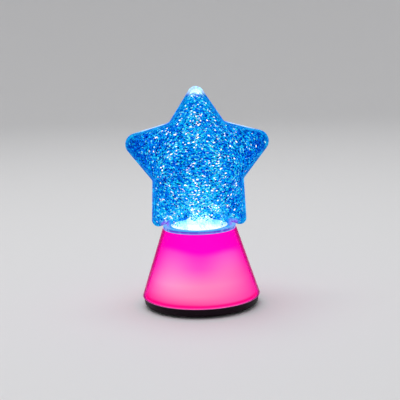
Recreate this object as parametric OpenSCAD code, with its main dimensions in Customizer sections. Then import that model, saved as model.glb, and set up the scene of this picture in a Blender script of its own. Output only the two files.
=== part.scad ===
// Star glitter lamp: a liquid-filled star bottle on a lit cone, stirred by a motor and run from three cells.
// Millimetres. The feet stand on z = 0, the lamp's axis is X = Y = 0 and its front faces -Y.

/* [Star bottle] */
// Height of the star's centre above the collar
star_lift = 45.3; // [44:0.1:50]
// Sharp top corner, above the star's centre
top_tip_z = 59.75; // [55:0.25:66]
// Upper notch, half its width
upper_notch_x = 19.8; // [18:0.1:22]
// Upper notch, above the star's centre
upper_notch_z = 29.5; // [27:0.1:32]
// Sharp side corner, half the width
side_tip_x = 57.5; // [53:0.1:62]
// Sharp side corner, above the star's centre
side_tip_z = 19; // [16:0.1:22]
// Lower notch, half its width
lower_notch_x = 33.2; // [31:0.1:35]
// Lower notch, below the star's centre
lower_notch_z = 12.2; // [10:0.1:14]
// Sharp lower corner, half the width
lower_tip_x = 34.8; // [33:0.1:37]
// Sharp lower corner, below the star's centre
lower_tip_z = 48.2; // [46:0.1:49]
// Middle notch between the lower arms, below the star's centre
foot_notch_z = 36.5; // [34:0.1:38]
// Rounding of the top corner
top_round = 5.8; // [4:0.1:7]
// Rounding of the side corners
side_round = 8.2; // [5:0.1:9]
// Rounding of the lower corners
lower_round = 4.8; // [4:0.1:6]
// Rounding of the notches
notch_round = 3; // [1:0.1:4]
// Half of the star's depth, front to back
star_half_depth = 23; // [20:0.5:26]
// Radius of the round crown in the middle of each face
crown_r = 40; // [36:0.5:44]
// Fullness of the face, 0.5 is a half ellipse
face_fullness = 0.58; // [0.5:0.01:0.7]
// Wall of the bottle
bottle_wall = 2; // [1.6:0.1:2.6]
// Height of the air pocket under the top tip
air_pocket = 4; // [2:0.5:12]
// Gap between the liquid and the bottle
fill_gap = 0.1; // [0.05:0.01:0.2]
// Width of a glitter flake across its corners
flake_d = 2; // [1.6:0.1:2.6]
// Thickness of a flake
flake_t = 0.3; // [0.2:0.05:0.5]
// Distance between neighbouring flakes along the wall
flake_spacing = 9; // [7:0.5:20]
// Clearance of the lower arms round the collar
arm_clearance = 0.3; // [0.2:0.05:0.5]
// How much narrower the neck's foot is than the collar
neck_step = 2.5; // [1:0.1:4]
// Neck radius inside the star
neck_top_r = 14; // [12:0.1:16]
// Neck height
neck_h = 25; // [20:0.5:28]

/* [Collar and stopper] */
// How much narrower the collar is than the cone's top
collar_step = 0.5; // [0.2:0.1:1.5]
// Thickness of the collar
collar_h = 2.7; // [2.2:0.1:3.5]
// Distance of the collar's bore from the circle of the screws
bore_margin = 2; // [1.6:0.1:3]
// Clearance of the stopper in the bore
stopper_clearance = 0.2; // [0.1:0.05:0.3]
// Thickness of the stopper's flange
stopper_flange_h = 2.8; // [2.4:0.1:3.6]
// Clearance of the stopper's flange in the frosted cone
flange_clearance = 0.15; // [0.1:0.05:0.3]
// Collar left over the ends of the stopper's screws
collar_skin = 0.7; // [0.5:0.05:1]
// Half thickness of the seal
seal_r = 0.75; // [0.6:0.05:0.9]
// Distance of the screws from the edge of the stopper's flange
screw_margin = 1.9; // [1.6:0.1:2.4]
// Number of the stopper's screws
stopper_screw_count = 6; // [4:1:8]
// Shank radius of the stopper's screws
stopper_screw_r = 0.9; // [0.7:0.05:1.1]
// Distance of the stopper's posts from its edge
post_margin = 1.9; // [1.3:0.1:2.5]
// Radius of the stopper's posts
post_r = 2.4; // [2.2:0.1:2.8]

/* [Stirrer] */
// Radius of the impeller
impeller_r = 9; // [7.5:0.1:11]
// Thickness of the impeller's disc
impeller_disc_h = 2.6; // [2.4:0.1:3.4]
// Height of the impeller's vanes
vane_h = 4; // [3:0.1:6]
// Thickness of the impeller's vanes
vane_t = 1.4; // [1:0.1:2]
// Number of vanes
vane_count = 4; // [3:1:6]
// Radius of the impeller's hub
hub_r = 3; // [2.6:0.1:3]
// Radius of the pivot pin
pin_r = 1; // [0.8:0.05:1.2]
// Radial clearance of what turns on a pin or in a bearing
running_clearance = 0.05; // [0.02:0.01:0.08]
// End play under and over the impeller
end_play = 0.3; // [0.25:0.05:0.5]
// Radius of the magnets
magnet_r = 2.2; // [1.8:0.1:2.3]
// Height of the magnets
magnet_h = 1.8; // [1.4:0.1:2]
// Circle of the magnets
magnet_ring = 6; // [5.6:0.1:6.2]

/* [Cone] */
// Height of the cone
cone_h = 49.8; // [48:0.1:54]
// Outer radius of the cone at its foot
cone_foot_r = 43.4; // [42.5:0.1:46]
// Outer radius of the cone at its top
cone_top_r = 27; // [26.8:0.1:28]
// Wall of the clear cone
cone_wall = 2.5; // [2:0.1:2.6]
// Gap between the clear cone and the frosted cone
cone_gap = 0.15; // [0.1:0.05:0.3]
// Wall of the frosted cone
diffuser_wall = 1.8; // [1.4:0.1:1.9]
// Width of the frosted cone's inner ledge
ledge_w = 2; // [1.5:0.1:2.6]
// Height of the frosted cone's inner ledge
ledge_h = 1.6; // [1.2:0.1:2.2]

/* [Deck and motor] */
// Depth of the deck's top below the collar
deck_drop = 12.5; // [12.3:0.1:14]
// Clearance of the deck in the frosted cone
deck_clearance = 0.35; // [0.2:0.05:0.6]
// Thickness of the deck
deck_h = 2; // [1.6:0.1:2.6]
// Radius of the motor
motor_r = 9.8; // [8.5:0.1:10]
// Gap between the motor and the leads that pass it
motor_lead_gap = 1.5; // [1:0.1:2.5]
// Gap between the motor and the control board
motor_board_gap = 2.5; // [1.8:0.1:4]
// Length of the motor's end cap
motor_cap_h = 2; // [1.5:0.1:2.4]
// Radius of the motor's front bearing
bearing_r = 3; // [2.5:0.1:3.2]
// Radius of the motor's shaft
shaft_r = 1; // [0.8:0.05:1.2]
// Radius of the magnet carrier
carrier_r = 8.8; // [8.5:0.1:9.4]
// Thickness of the magnet carrier
carrier_h = 4; // [3:0.1:4.2]
// Gap between the carrier and the stopper
carrier_gap = 2.2; // [1.5:0.1:2.4]
// Circle of the motor's screws
motor_screw_ring = 5.4; // [5.3:0.1:5.5]
// Width of the ring of the star's light board
star_board_w = 5.5; // [4.5:0.1:6.5]
// Gap between the star's light board and the stopper's posts
star_board_gap = 0.5; // [0.3:0.1:1]
// Thickness of the boards
board_h = 1.6; // [1:0.1:2]
// Width of a star light
star_led_w = 3; // [2:0.1:3.2]
// Height of a star light
star_led_h = 1.3; // [0.8:0.1:1.4]
// Number of star lights
star_led_count = 6; // [4:1:8]
// Radius of the deck's legs
leg_r = 2.6; // [2.4:0.1:2.8]

/* [Base] */
// Height of the base's side above its underside
base_h = 5.7; // [5.4:0.1:7]
// How much narrower the base is than the cone's foot
base_inset = 1; // [0.2:0.1:1.5]
// How much narrower the base is at the bottom
base_taper = 0.8; // [0.4:0.1:1.5]
// Rounding of the base's lower edge
base_round = 1.2; // [0.6:0.1:1.5]
// Wall of the base
base_wall = 2.2; // [1.8:0.1:2.6]
// Thickness of the base's floor
floor_h = 2.2; // [2:0.1:2.6]
// Height of the lip inside the frosted cone
lip_h = 3; // [2:0.1:5]
// Thickness of the lip
lip_w = 1.6; // [1.2:0.1:2]
// Clearance round the lip
lip_clearance = 0.2; // [0.1:0.05:0.4]
// Height of the feet under the base
foot_h = 1.5; // [1:0.1:2.5]
// Radius of the feet
foot_r = 3.5; // [3:0.1:4]
// Depth of the feet in the base
foot_seat = 1; // [0.6:0.1:1.2]
// Distance of the feet from the base's edge
foot_margin = 2.5; // [2:0.1:4]
// Radius of the base screws' shanks
base_screw_r = 1.2; // [1:0.05:1.3]
// Height of the bosses under the legs
boss_h = 4.3; // [3:0.1:6]

/* [Battery bay] */
// Radius of a cell
cell_r = 5.2; // [5:0.05:5.3]
// Length of a cell with its nub
cell_len = 44.5; // [43:0.1:45]
// Spacing of the cells
cell_pitch = 11.5; // [11:0.1:11.8]
// Radius of a cell's nub
nub_r = 1.9; // [1.5:0.1:2.2]
// Length of a cell's nub
nub_h = 1; // [0.8:0.1:1.4]
// Room under and over a cell
cell_room = 0.5; // [0.3:0.05:0.8]
// Room for the spring contact
spring_room = 4.5; // [3.5:0.1:5]
// Thickness of the contacts
contact_t = 0.5; // [0.4:0.05:0.7]
// Width of the contacts
contact_w = 6; // [4:0.1:8]
// Wall of the bay
bay_wall = 1.5; // [1.2:0.1:1.6]
// Thickness of the door
door_h = 1.8; // [1.6:0.1:2]
// Clearance round the door
door_clearance = 0.3; // [0.25:0.05:0.5]
// Radius of the door's hinge pegs
peg_r = 0.6; // [0.5:0.05:0.65]
// Length of the door's hinge pegs
peg_len = 1.2; // [0.8:0.1:1.6]

/* [Control board and switch] */
// Width of the control board
board_w = 38; // [36:0.5:38.5]
// Height of the board above the bay
board_standoff = 1.3; // [1:0.1:2]
// Distance of the base lights from the axis, along X and along Y
base_led_x = 14.5; // [13:0.1:15.5]
// Width of a base light
base_led_w = 5; // [3:0.1:5.4]
// Height of a base light
base_led_h = 1.6; // [1:0.1:1.8]
// Gap between the switch's case and the base's lip
switch_gap = 0.5; // [0.3:0.1:1.5]
// Width of the switch's case
switch_w = 10; // [9.8:0.1:12]
// Depth of the switch's case
switch_d = 4.6; // [4.4:0.1:5.4]
// Height of the switch's case
switch_h = 5; // [4.5:0.1:6]
// Travel of the switch's knob
switch_travel = 4; // [3:0.1:4.2]
// Width of the knob
knob_w = 2.8; // [2.2:0.1:3]
// Depth of the knob
knob_d = 1.8; // [1.6:0.1:2]
// Height of the knob below the base's underside
knob_drop = 0.8; // [0.4:0.1:0.9]
// Clearance round the knob and its shoe
knob_clearance = 0.3; // [0.25:0.05:0.4]
// Radius of the wires
wire_r = 0.5; // [0.4:0.05:0.6]

/* [Hidden] */
$fn = 72;
cut = 0.5;

// Heights, from the table up
z_under = foot_h;
z_floor = z_under + floor_h;
z_cone = z_under + base_h;
z_collar = z_cone + cone_h;
z_neck = z_collar + collar_h;
star_z = z_neck + star_lift;
z_deck = z_collar - deck_drop;
z_deck_low = z_deck - deck_h;
z_stopper = z_collar - stopper_flange_h;
z_star_board = z_deck + board_h;
z_carrier = z_stopper - carrier_gap - carrier_h;
z_cell = z_floor + cell_room + cell_r;
z_bay = z_cell + cell_r + cell_room;
z_roof = z_bay + bay_wall;
z_board = z_roof + board_standoff;
z_board_top = z_board + board_h;
z_boss = z_floor + boss_h;
z_motor_cap = z_board_top + motor_board_gap;
motor_len = z_deck_low - motor_cap_h - z_motor_cap;

// Cone walls at a height
function cone_r(z) = cone_foot_r + (cone_top_r - cone_foot_r) * (z - z_cone) / cone_h;
function diffuser_out(z) = cone_r(z) - cone_wall - cone_gap;
function diffuser_in(z) = diffuser_out(z) - diffuser_wall;
function neck_at(z) = neck_r + (neck_top_r - neck_r) * (z - z_neck) / neck_h;

// Collar, stopper and stirrer
collar_r = cone_top_r - collar_step;
neck_r = collar_r - neck_step;
stopper_flange_r = diffuser_in(z_collar) - flange_clearance;
stopper_screw_ring = stopper_flange_r - screw_margin;
collar_bore_r = stopper_screw_ring - bore_margin;
stopper_r = collar_bore_r - stopper_clearance;
post_ring = stopper_r - post_margin;
seal_ring = collar_bore_r - seal_r;
groove_r = seal_ring - seal_r;
z_seal = z_collar + collar_h / 2;
stopper_head_r = 1.5;
stopper_head_h = 1.2;
screw_bite = collar_h - collar_skin;
post_angles = [45, 165, 285];
post_h = z_stopper - z_deck;
post_bore = post_h - 2;
screw_end_gap = 1;
deck_screw_r = 1.1;
deck_head_r = 2;
deck_head_h = 1.5;
thrust_h = 0.5;
hub_rise = 0.6;
thrust_r = 2.2;
pin_seat = 2.2;
pin_head_h = 1;
pin_head_r = 1.9;
z_impeller = z_neck + thrust_h + end_play;
impeller_top = z_impeller + impeller_disc_h + vane_h;
hub_top = impeller_top + hub_rise;
z_pin_head = hub_top + end_play;
chamber_gap = 0.6;

// Deck, legs and base
deck_r = diffuser_in(z_deck) - deck_clearance;
motor_screw_bite = 2;
motor_screw_r = 0.9;
carrier_bore = carrier_h - 1;
motor_head_r = 1.6;
motor_head_h = 1.1;
star_board_out = post_ring - post_r - star_board_gap;
star_board_in = star_board_out - star_board_w;
led_lead_y = motor_r + motor_lead_gap + wire_r;
lead_margin = 1.7;
bay_half_x = (cell_len + spring_room) / 2 + contact_t;
cell_side_room = 0.25;
leg_gap = 0.8;
boss_wall = 0.8;
bay_half_y = 1.5 * cell_pitch + cell_side_room;
leg_y = bay_half_y + bay_wall + leg_r + leg_gap;
boss_r = leg_r + boss_wall;
base_r = cone_foot_r - base_inset;
base_foot_r = base_r - base_taper;
lip_top = z_cone + lip_h;
lip_out = diffuser_in(z_cone) - lip_clearance;
lip_out_top = diffuser_in(lip_top) - lip_clearance;
foot_count = 4;
foot_ring = base_foot_r - foot_margin - foot_r;
base_head_r = 2.4;
base_head_h = 1.7;
base_screw_bite = 8;
hinge_inset = 0.7 + door_h / 2;
door_recess = 0.1;
peg_end_gap = 0.2;
head_clearance = 0.2;
hinge_x = -(bay_half_x - hinge_inset);
hinge_z = z_under + door_recess + door_h / 2;
door_low = hinge_z - door_h / 2;
door_half_y = bay_half_y - door_clearance;
door_end = bay_half_x - door_clearance;
door_lip = 1.2;
finger_inset = 4;
finger_w = 14;
finger_r = 0.9;
stake_x = board_w / 2 - 3;
stake_r = 1.2;
shoulder_r = 2.2;
stake_rise = 0.5;
chip = [5, 4, 1.5];
chip_y = 7;

// Switch
switch_reach = lip_out_top - lip_w - switch_gap;
switch_y = sqrt(pow(switch_reach, 2) - pow(switch_w / 2, 2)) - switch_d / 2;
shoe_wing = 0.5;
knob_shoe_w = knob_w + 2 * shoe_wing;
knob_shoe_d = knob_d + 2 * shoe_wing;
knob_shoe_h = 1.4;
switch_floor = 0.8;
z_knob_shoe = z_floor + switch_floor + knob_clearance;
knob_slot = [knob_w + switch_travel + 2 * knob_clearance, knob_d + 2 * knob_clearance];

// Lead routes, chosen by hand
led_lead_x = 1.6;
motor_lead_x = 4;
switch_lead_x = 4;
switch_lead_rise = 5;
switch_lead_turn = [7, 16.5];
bend_swell = 1.2;

// Copies round the lamp's axis
module around(count, radius, start = 0) {
  for (i = [0 : count - 1]) rotate(start + i * 360 / count) translate([radius, 0, 0]) children();
}

module at_angles(angles, radius) {
  for (a = angles) rotate(a) translate([radius, 0, 0]) children();
}

// A straight round rod between two points
module rod(a, b, r) {
  d = b - a;
  translate(a) rotate([0, acos(d.z / norm(d)), atan2(d.y, d.x)]) cylinder(h = norm(d), r = r, $fn = 24);
}

// A wire along points, a little thicker at its bends
module wire(points, r) {
  for (i = [0 : len(points) - 2]) rod(points[i], points[i + 1], r);
  for (i = [1 : 1 : len(points) - 2]) translate(points[i]) sphere(r = bend_swell * r, $fn = 24);
}

module tube(h, r_out, r_in) {
  difference() {
    cylinder(h = h, r = r_out);
    translate([0, 0, -cut]) cylinder(h = h + 2 * cut, r = r_in);
  }
}

// Star outline, in X and Z about the star's centre, corner by corner from the top, to the left and round
half_corners = [
  [upper_notch_x, upper_notch_z], [side_tip_x, side_tip_z], [lower_notch_x, -lower_notch_z],
  [lower_tip_x, -lower_tip_z]
];
half_rounds = [notch_round, side_round, notch_round, lower_round];
star_corners = [
  [0, top_tip_z], each [for (c = half_corners) [-c.x, c.y]],
  [0, -foot_notch_z], each [for (i = [3 : -1 : 0]) half_corners[i]]
];
star_rounds = [top_round, each half_rounds, notch_round, each [for (i = [3 : -1 : 0]) half_rounds[i]]];
corner_count = len(star_corners);
tip_steps = 6;
notch_steps = 3;
face_steps = 12;

function unit(v) = v / norm(v);
function inner_side(a, b) = unit([a.y - b.y, b.x - a.x]);
function is_tip(i) = i % 2 == 0;
function before(p, i) = p[(i + corner_count - 1) % corner_count];
function after(p, i) = p[(i + 1) % corner_count];

// The outline drawn in by a wall, and its roundings
function inset(p, t) = [
  for (i = [0 : corner_count - 1])
    let (m = inner_side(before(p, i), p[i]), n = inner_side(p[i], after(p, i)))
    p[i] + (m + n) * t / (1 + m * n)
];
function inset_rounds(t) = [
  for (i = [0 : corner_count - 1]) is_tip(i) ? max(star_rounds[i] - t, 0.5) : star_rounds[i] + t
];

function corner_arc(a, b, c, r, steps) =
  let (
    u = unit(a - b), v = unit(c - b), half = acos(u * v) / 2,
    middle = b + unit(u + v) * r / sin(half),
    from = b + u * r / tan(half) - middle, to = b + v * r / tan(half) - middle,
    start = atan2(from.y, from.x), turn = (atan2(to.y, to.x) - start + 540) % 360 - 180
  )
  [for (k = [0 : steps]) middle + r * [cos(start + turn * k / steps), sin(start + turn * k / steps)]];

function rounded(p, rounds) =
  let (
    arcs = [
      for (i = [0 : corner_count - 1])
        corner_arc(before(p, i), p[i], after(p, i), rounds[i], is_tip(i) ? tip_steps : notch_steps)
    ]
  )
  [
    for (i = [0 : corner_count - 1])
      each concat(arcs[i], [(arcs[i][len(arcs[i]) - 1] + after(arcs, i)[0]) / 2])
  ];

// One ring of the star's face: t = 0 is the rim at Y = 0, 90 is the crown of the front and -90 of the rear
function face_ring(outline, crown, depth, t) = [
  for (p = outline)
    let (w = cos(t), s = w * (w + (1 - w) * crown / norm(p)))
    [p.x * s, -depth * sign(t) * pow(abs(sin(t)), 2 * face_fullness), star_z + p.y * s]
];

// The star drawn in by a wall, as a whole or as its front half
module star_solid(inset_by, whole) {
  outline = rounded(inset(star_corners, inset_by), inset_rounds(inset_by));
  depth = star_half_depth - inset_by;
  first = whole ? 1 - face_steps : 0;
  angles = [for (j = [first : face_steps - 1]) 90 * j / face_steps];
  n = len(outline);
  rows = len(angles);
  points = [
    for (t = angles) each face_ring(outline, crown_r - inset_by, depth, t),
    [0, whole ? depth : 0, star_z], [0, -depth, star_z]
  ];
  faces = [
    for (j = [0 : rows - 2], i = [0 : n - 1])
      let (a = j * n + i, b = j * n + (i + 1) % n)
      each angles[j] < 0 ? [[a, a + n, b], [b, a + n, b + n]] : [[a, b + n, b], [a, a + n, b + n]],
    for (i = [0 : n - 1]) [i, (i + 1) % n, rows * n],
    for (i = [0 : n - 1]) let (a = (rows - 1) * n + i, b = (rows - 1) * n + (i + 1) % n) [a, rows * n + 1, b]
  ];
  polyhedron(points, faces);
}

// The neck's cone drawn in by a wall, from a height to its top
module neck_solid(inset_by, from) {
  top = z_neck + neck_h;
  translate([0, 0, from]) cylinder(h = top - from, r1 = neck_at(from) - inset_by, r2 = neck_top_r - inset_by);
}

module bottle_half() {
  difference() {
    union() {
      star_solid(0, false);
      intersection() {
        neck_solid(0, z_neck);
        translate([-2 * neck_r, -2 * neck_r, z_neck - cut]) cube([4 * neck_r, 2 * neck_r, neck_h + 2 * cut]);
      }
    }
    star_solid(bottle_wall, true);
    neck_solid(bottle_wall, z_neck - cut);
    translate([0, 0, z_collar]) cylinder(h = collar_h, r = collar_r + arm_clearance);
  }
}

module bottle_front() { color("DeepSkyBlue", 0.4) bottle_half(); }

module bottle_rear() { color("DodgerBlue", 0.4) mirror([0, 1, 0]) bottle_half(); }

// What fills the bottle, with an air pocket in the top tip and room for the impeller to turn
fill_inset = bottle_wall + fill_gap;
fill_outline = rounded(inset(star_corners, fill_inset), inset_rounds(fill_inset));
fill_top = star_z + max([for (p = fill_outline) p.y]) - air_pocket;

module filling() {
  reach = 2 * side_tip_x;
  difference() {
    intersection() {
      union() {
        star_solid(fill_inset, true);
        neck_solid(fill_inset, z_neck);
      }
      translate([-reach, -reach, z_neck]) cube([2 * reach, 2 * reach, fill_top - z_neck]);
    }
    translate([0, 0, z_neck - cut])
      cylinder(h = z_pin_head + pin_head_h + chamber_gap - z_neck + cut, r = impeller_r + chamber_gap);
  }
}

// Rows of flakes that lean on the wall of each face, between the rim and the crown
flake_rows = [for (j = [2 : 2 : face_steps - 2]) each [-j, j]];
flake_sink = flake_d / 4;
golden = (sqrt(5) - 1) / 2;
function share(x) = x - floor(x);
function fill_ring(t) = face_ring(fill_outline, crown_r - fill_inset, star_half_depth - fill_inset, t);
function along(ring, q) =
  let (n = len(ring), i = floor(q), f = q - i) ring[i % n] * (1 - f) + ring[(i + 1) % n] * f;
function walk(p) = [
  for (i = 0, d = 0; i <= len(p); d = d + norm(p[(i + 1) % len(p)] - p[i % len(p)]), i = i + 1) [d, i]
];
function flake_fits(at) =
  at.z > z_neck + flake_d && at.z < fill_top - flake_d
  && (at.z > z_neck + neck_h || norm([at.x, at.y]) > neck_at(at.z) + flake_d);

// One flake: a thin six-sided plate at a place on the wall, tilted from the wall's outward direction
module flake(at, outward, ahead, turn, tilt) {
  lean = ahead * cos(turn) + cross(outward, ahead) * sin(turn);
  across = cross(outward, lean);
  flat = outward * cos(tilt) + lean * sin(tilt);
  up = cross(flat, across);
  centre = at - outward * flake_sink;
  multmatrix([for (k = [0 : 2]) [across[k], up[k], flat[k], centre[k]]])
    cylinder(h = flake_t, d = flake_d, center = true, $fn = 6);
}

module flakes() {
  steps = walk(fill_outline);
  round_trip = steps[len(fill_outline)][0];
  for (j = flake_rows) {
    t = 90 * j / face_steps;
    ring = fill_ring(t);
    beyond = fill_ring(t + 1);
    count = max(2, round(round_trip * cos(t) / flake_spacing));
    for (i = [0 : count - 1]) {
      q = lookup(round_trip * (i + share(j * golden)) / count, steps);
      at = along(ring, q);
      ahead = unit(along(ring, q + 0.01) - at);
      upright = unit(cross(ahead, along(beyond, q) - at));
      outward = upright * sign(upright * (at - [0, 0, star_z]));
      if (flake_fits(at)) flake(at, outward, ahead, 360 * share(i * golden + j / 7), 50 + 30 * share(i * golden));
    }
  }
}

module glitter_liquid() {
  color("RoyalBlue", 0.5) difference() {
    filling();
    flakes();
  }
}

// The largest flakes, those that rest at the wall
module glitter_flakes() {
  color("Azure") intersection() {
    filling();
    flakes();
  }
}

// Clear flange ring between the bottle and the cone
module neck_collar() {
  color("SkyBlue", 0.6) difference() {
    translate([0, 0, z_collar]) tube(collar_h, collar_r, collar_bore_r);
    translate([0, 0, z_collar - cut])
      around(stopper_screw_count, stopper_screw_ring) cylinder(h = screw_bite + cut, r = stopper_screw_r);
  }
}

// Clear plug that closes the neck and lets the light through, with a flange, a seal groove and three posts
module stopper() {
  color("White", 0.7) difference() {
    union() {
      rotate_extrude() polygon([
        [0, z_stopper], [stopper_flange_r, z_stopper], [stopper_flange_r, z_collar], [stopper_r, z_collar],
        [stopper_r, z_seal - seal_r], [groove_r, z_seal - seal_r], [groove_r, z_seal + seal_r],
        [stopper_r, z_seal + seal_r], [stopper_r, z_neck], [thrust_r, z_neck], [thrust_r, z_neck + thrust_h],
        [0, z_neck + thrust_h]
      ]);
      at_angles(post_angles, post_ring) translate([0, 0, z_deck]) cylinder(h = post_h + cut, r = post_r);
    }
    translate([0, 0, z_neck - pin_seat]) cylinder(h = pin_seat + thrust_h + cut, r = pin_r);
    translate([0, 0, z_stopper - cut])
      around(stopper_screw_count, stopper_screw_ring)
        cylinder(h = stopper_flange_h + 2 * cut, r = stopper_screw_r);
    at_angles(post_angles, post_ring) translate([0, 0, z_deck - cut])
      cylinder(h = post_bore + cut, r = deck_screw_r);
  }
}

module stopper_seal() {
  color("DimGray") translate([0, 0, z_seal])
    rotate_extrude() translate([seal_ring, 0]) circle(r = seal_r, $fn = 24);
}

module stopper_screws() {
  color("Silver") around(stopper_screw_count, stopper_screw_ring) {
    translate([0, 0, z_stopper - stopper_head_h]) cylinder(h = stopper_head_h, r = stopper_head_r);
    translate([0, 0, z_stopper - cut]) cylinder(h = stopper_flange_h + screw_bite + cut, r = stopper_screw_r);
  }
}

module pivot_pin() {
  color("Silver") {
    translate([0, 0, z_neck - pin_seat]) cylinder(h = z_pin_head + pin_seat - z_neck + cut, r = pin_r);
    translate([0, 0, z_pin_head]) cylinder(h = pin_head_h, r = pin_head_r);
  }
}

// Pockets for the two magnets, open on one side of the disc
module magnet_pair(z, h) {
  around(2, magnet_ring) translate([0, 0, z]) cylinder(h = h, r = magnet_r);
}

module impeller() {
  color("White", 0.8) difference() {
    translate([0, 0, z_impeller]) {
      cylinder(h = impeller_disc_h, r = impeller_r);
      cylinder(h = hub_top - z_impeller, r = hub_r);
      intersection() {
        cylinder(h = impeller_disc_h + vane_h, r = impeller_r);
        for (i = [0 : vane_count - 1]) rotate((i + 0.5) * 360 / vane_count)
          translate([0, -vane_t / 2, impeller_disc_h - cut]) cube([impeller_r + cut, vane_t, vane_h + cut]);
      }
    }
    translate([0, 0, z_impeller - cut])
      cylinder(h = hub_top - z_impeller + 2 * cut, r = pin_r + running_clearance);
    magnet_pair(z_impeller - cut, magnet_h + cut);
  }
}

module impeller_magnets() { color("Gray") magnet_pair(z_impeller, magnet_h); }

// Clear outer cone
module cone_shell() {
  foot_round = 0.6;
  color("HotPink", 0.4) rotate_extrude() polygon([
    [cone_r(z_cone) - cone_wall, z_cone], [cone_r(z_cone) - foot_round, z_cone],
    [cone_r(z_cone + foot_round), z_cone + foot_round], [cone_top_r, z_collar],
    [cone_top_r - cone_wall, z_collar]
  ]);
}

// Frosted inner cone, with a ledge that the deck is pulled up against
module cone_diffuser() {
  color("DeepPink") rotate_extrude() polygon([
    [diffuser_in(z_cone), z_cone], [diffuser_out(z_cone), z_cone], [diffuser_out(z_collar), z_collar],
    [diffuser_in(z_collar), z_collar], [diffuser_in(z_deck + ledge_h), z_deck + ledge_h],
    [diffuser_in(z_deck) - ledge_w, z_deck + ledge_h], [diffuser_in(z_deck) - ledge_w, z_deck],
    [diffuser_in(z_deck), z_deck]
  ]);
}

// White deck that parts the two lights, carries the motor and stands on two legs
module deck() {
  color("WhiteSmoke") difference() {
    union() {
      translate([0, 0, z_deck_low]) cylinder(h = deck_h, r = deck_r);
      for (s = [-1, 1]) translate([0, s * leg_y, z_boss]) cylinder(h = z_deck_low - z_boss + cut, r = leg_r);
    }
    translate([0, 0, z_deck_low - cut]) {
      cylinder(h = deck_h + 2 * cut, r = bearing_r);
      around(2, motor_screw_ring) {
        cylinder(h = deck_h + 2 * cut, r = motor_screw_r);
        translate([0, 0, cut + deck_h - motor_head_h]) cylinder(h = motor_head_h + cut, r = motor_head_r);
      }
      at_angles(post_angles, post_ring) cylinder(h = deck_h + 2 * cut, r = deck_screw_r);
      for (s = [-1, 1]) translate([s * led_lead_x, led_lead_y, 0]) cylinder(h = deck_h + 2 * cut, r = wire_r);
    }
    for (s = [-1, 1]) translate([0, s * leg_y, z_boss - cut])
      cylinder(h = base_screw_bite + cut, r = base_screw_r);
  }
}

module deck_screws() {
  shank = deck_h + post_bore - screw_end_gap;
  color("Silver") at_angles(post_angles, post_ring) {
    translate([0, 0, z_deck_low - deck_head_h]) cylinder(h = deck_head_h, r = deck_head_r);
    translate([0, 0, z_deck_low - cut]) cylinder(h = shank + cut, r = deck_screw_r);
  }
}

// Ring under the stopper, with a tab where its leads come up
module star_light_board() {
  tab = [led_lead_x + lead_margin, led_lead_y + lead_margin];
  color("White") translate([0, 0, z_deck]) difference() {
    union() {
      cylinder(h = board_h, r = star_board_out);
      translate([-tab.x, 0, 0]) cube([2 * tab.x, tab.y, board_h]);
    }
    translate([0, 0, -cut]) cylinder(h = board_h + 2 * cut, r = star_board_in);
    for (s = [-1, 1]) translate([s * led_lead_x, led_lead_y, -cut])
      cylinder(h = board_h / 2 + cut, r = wire_r);
  }
}

module star_leds() {
  middle = (star_board_in + star_board_out) / 2;
  color("LightYellow") translate([0, 0, z_star_board])
    around(star_led_count, middle) translate([-star_led_w / 2, -star_led_w / 2, 0])
      cube([star_led_w, star_led_w, star_led_h]);
}

// Motor under the deck, its front bearing in the deck's hole
module motor_can() {
  color("Silver") difference() {
    union() {
      translate([0, 0, z_deck_low - motor_len]) cylinder(h = motor_len, r = motor_r);
      translate([0, 0, z_deck_low - cut]) cylinder(h = deck_h + cut, r = bearing_r);
    }
    translate([0, 0, z_deck_low - motor_len - cut])
      cylinder(h = motor_len + deck_h + 2 * cut, r = shaft_r + running_clearance);
    translate([0, 0, z_deck_low - motor_screw_bite]) around(2, motor_screw_ring)
      cylinder(h = motor_screw_bite + cut, r = motor_screw_r);
  }
}

module motor_end_cap() {
  color("Ivory") translate([0, 0, z_motor_cap]) cylinder(h = motor_cap_h, r = motor_r);
}

module motor_screws() {
  color("Gray") around(2, motor_screw_ring) {
    translate([0, 0, z_deck - motor_head_h]) cylinder(h = motor_head_h, r = motor_head_r);
    translate([0, 0, z_deck_low - motor_screw_bite])
      cylinder(h = motor_screw_bite + deck_h - motor_head_h + cut, r = motor_screw_r);
  }
}

module motor_shaft() {
  from = z_deck_low - motor_len + end_play;
  color("LightGray") translate([0, 0, from]) cylinder(h = z_carrier + carrier_bore - from, r = shaft_r);
}

// Disc on the motor's shaft that turns the impeller by its magnets
module magnet_carrier() {
  color("Black") difference() {
    translate([0, 0, z_carrier]) cylinder(h = carrier_h, r = carrier_r);
    translate([0, 0, z_carrier - cut]) cylinder(h = carrier_bore + cut, r = shaft_r);
    magnet_pair(z_carrier + carrier_h - magnet_h, magnet_h + cut);
  }
}

module drive_magnets() { color("Gray") magnet_pair(z_carrier + carrier_h - magnet_h, magnet_h); }

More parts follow.
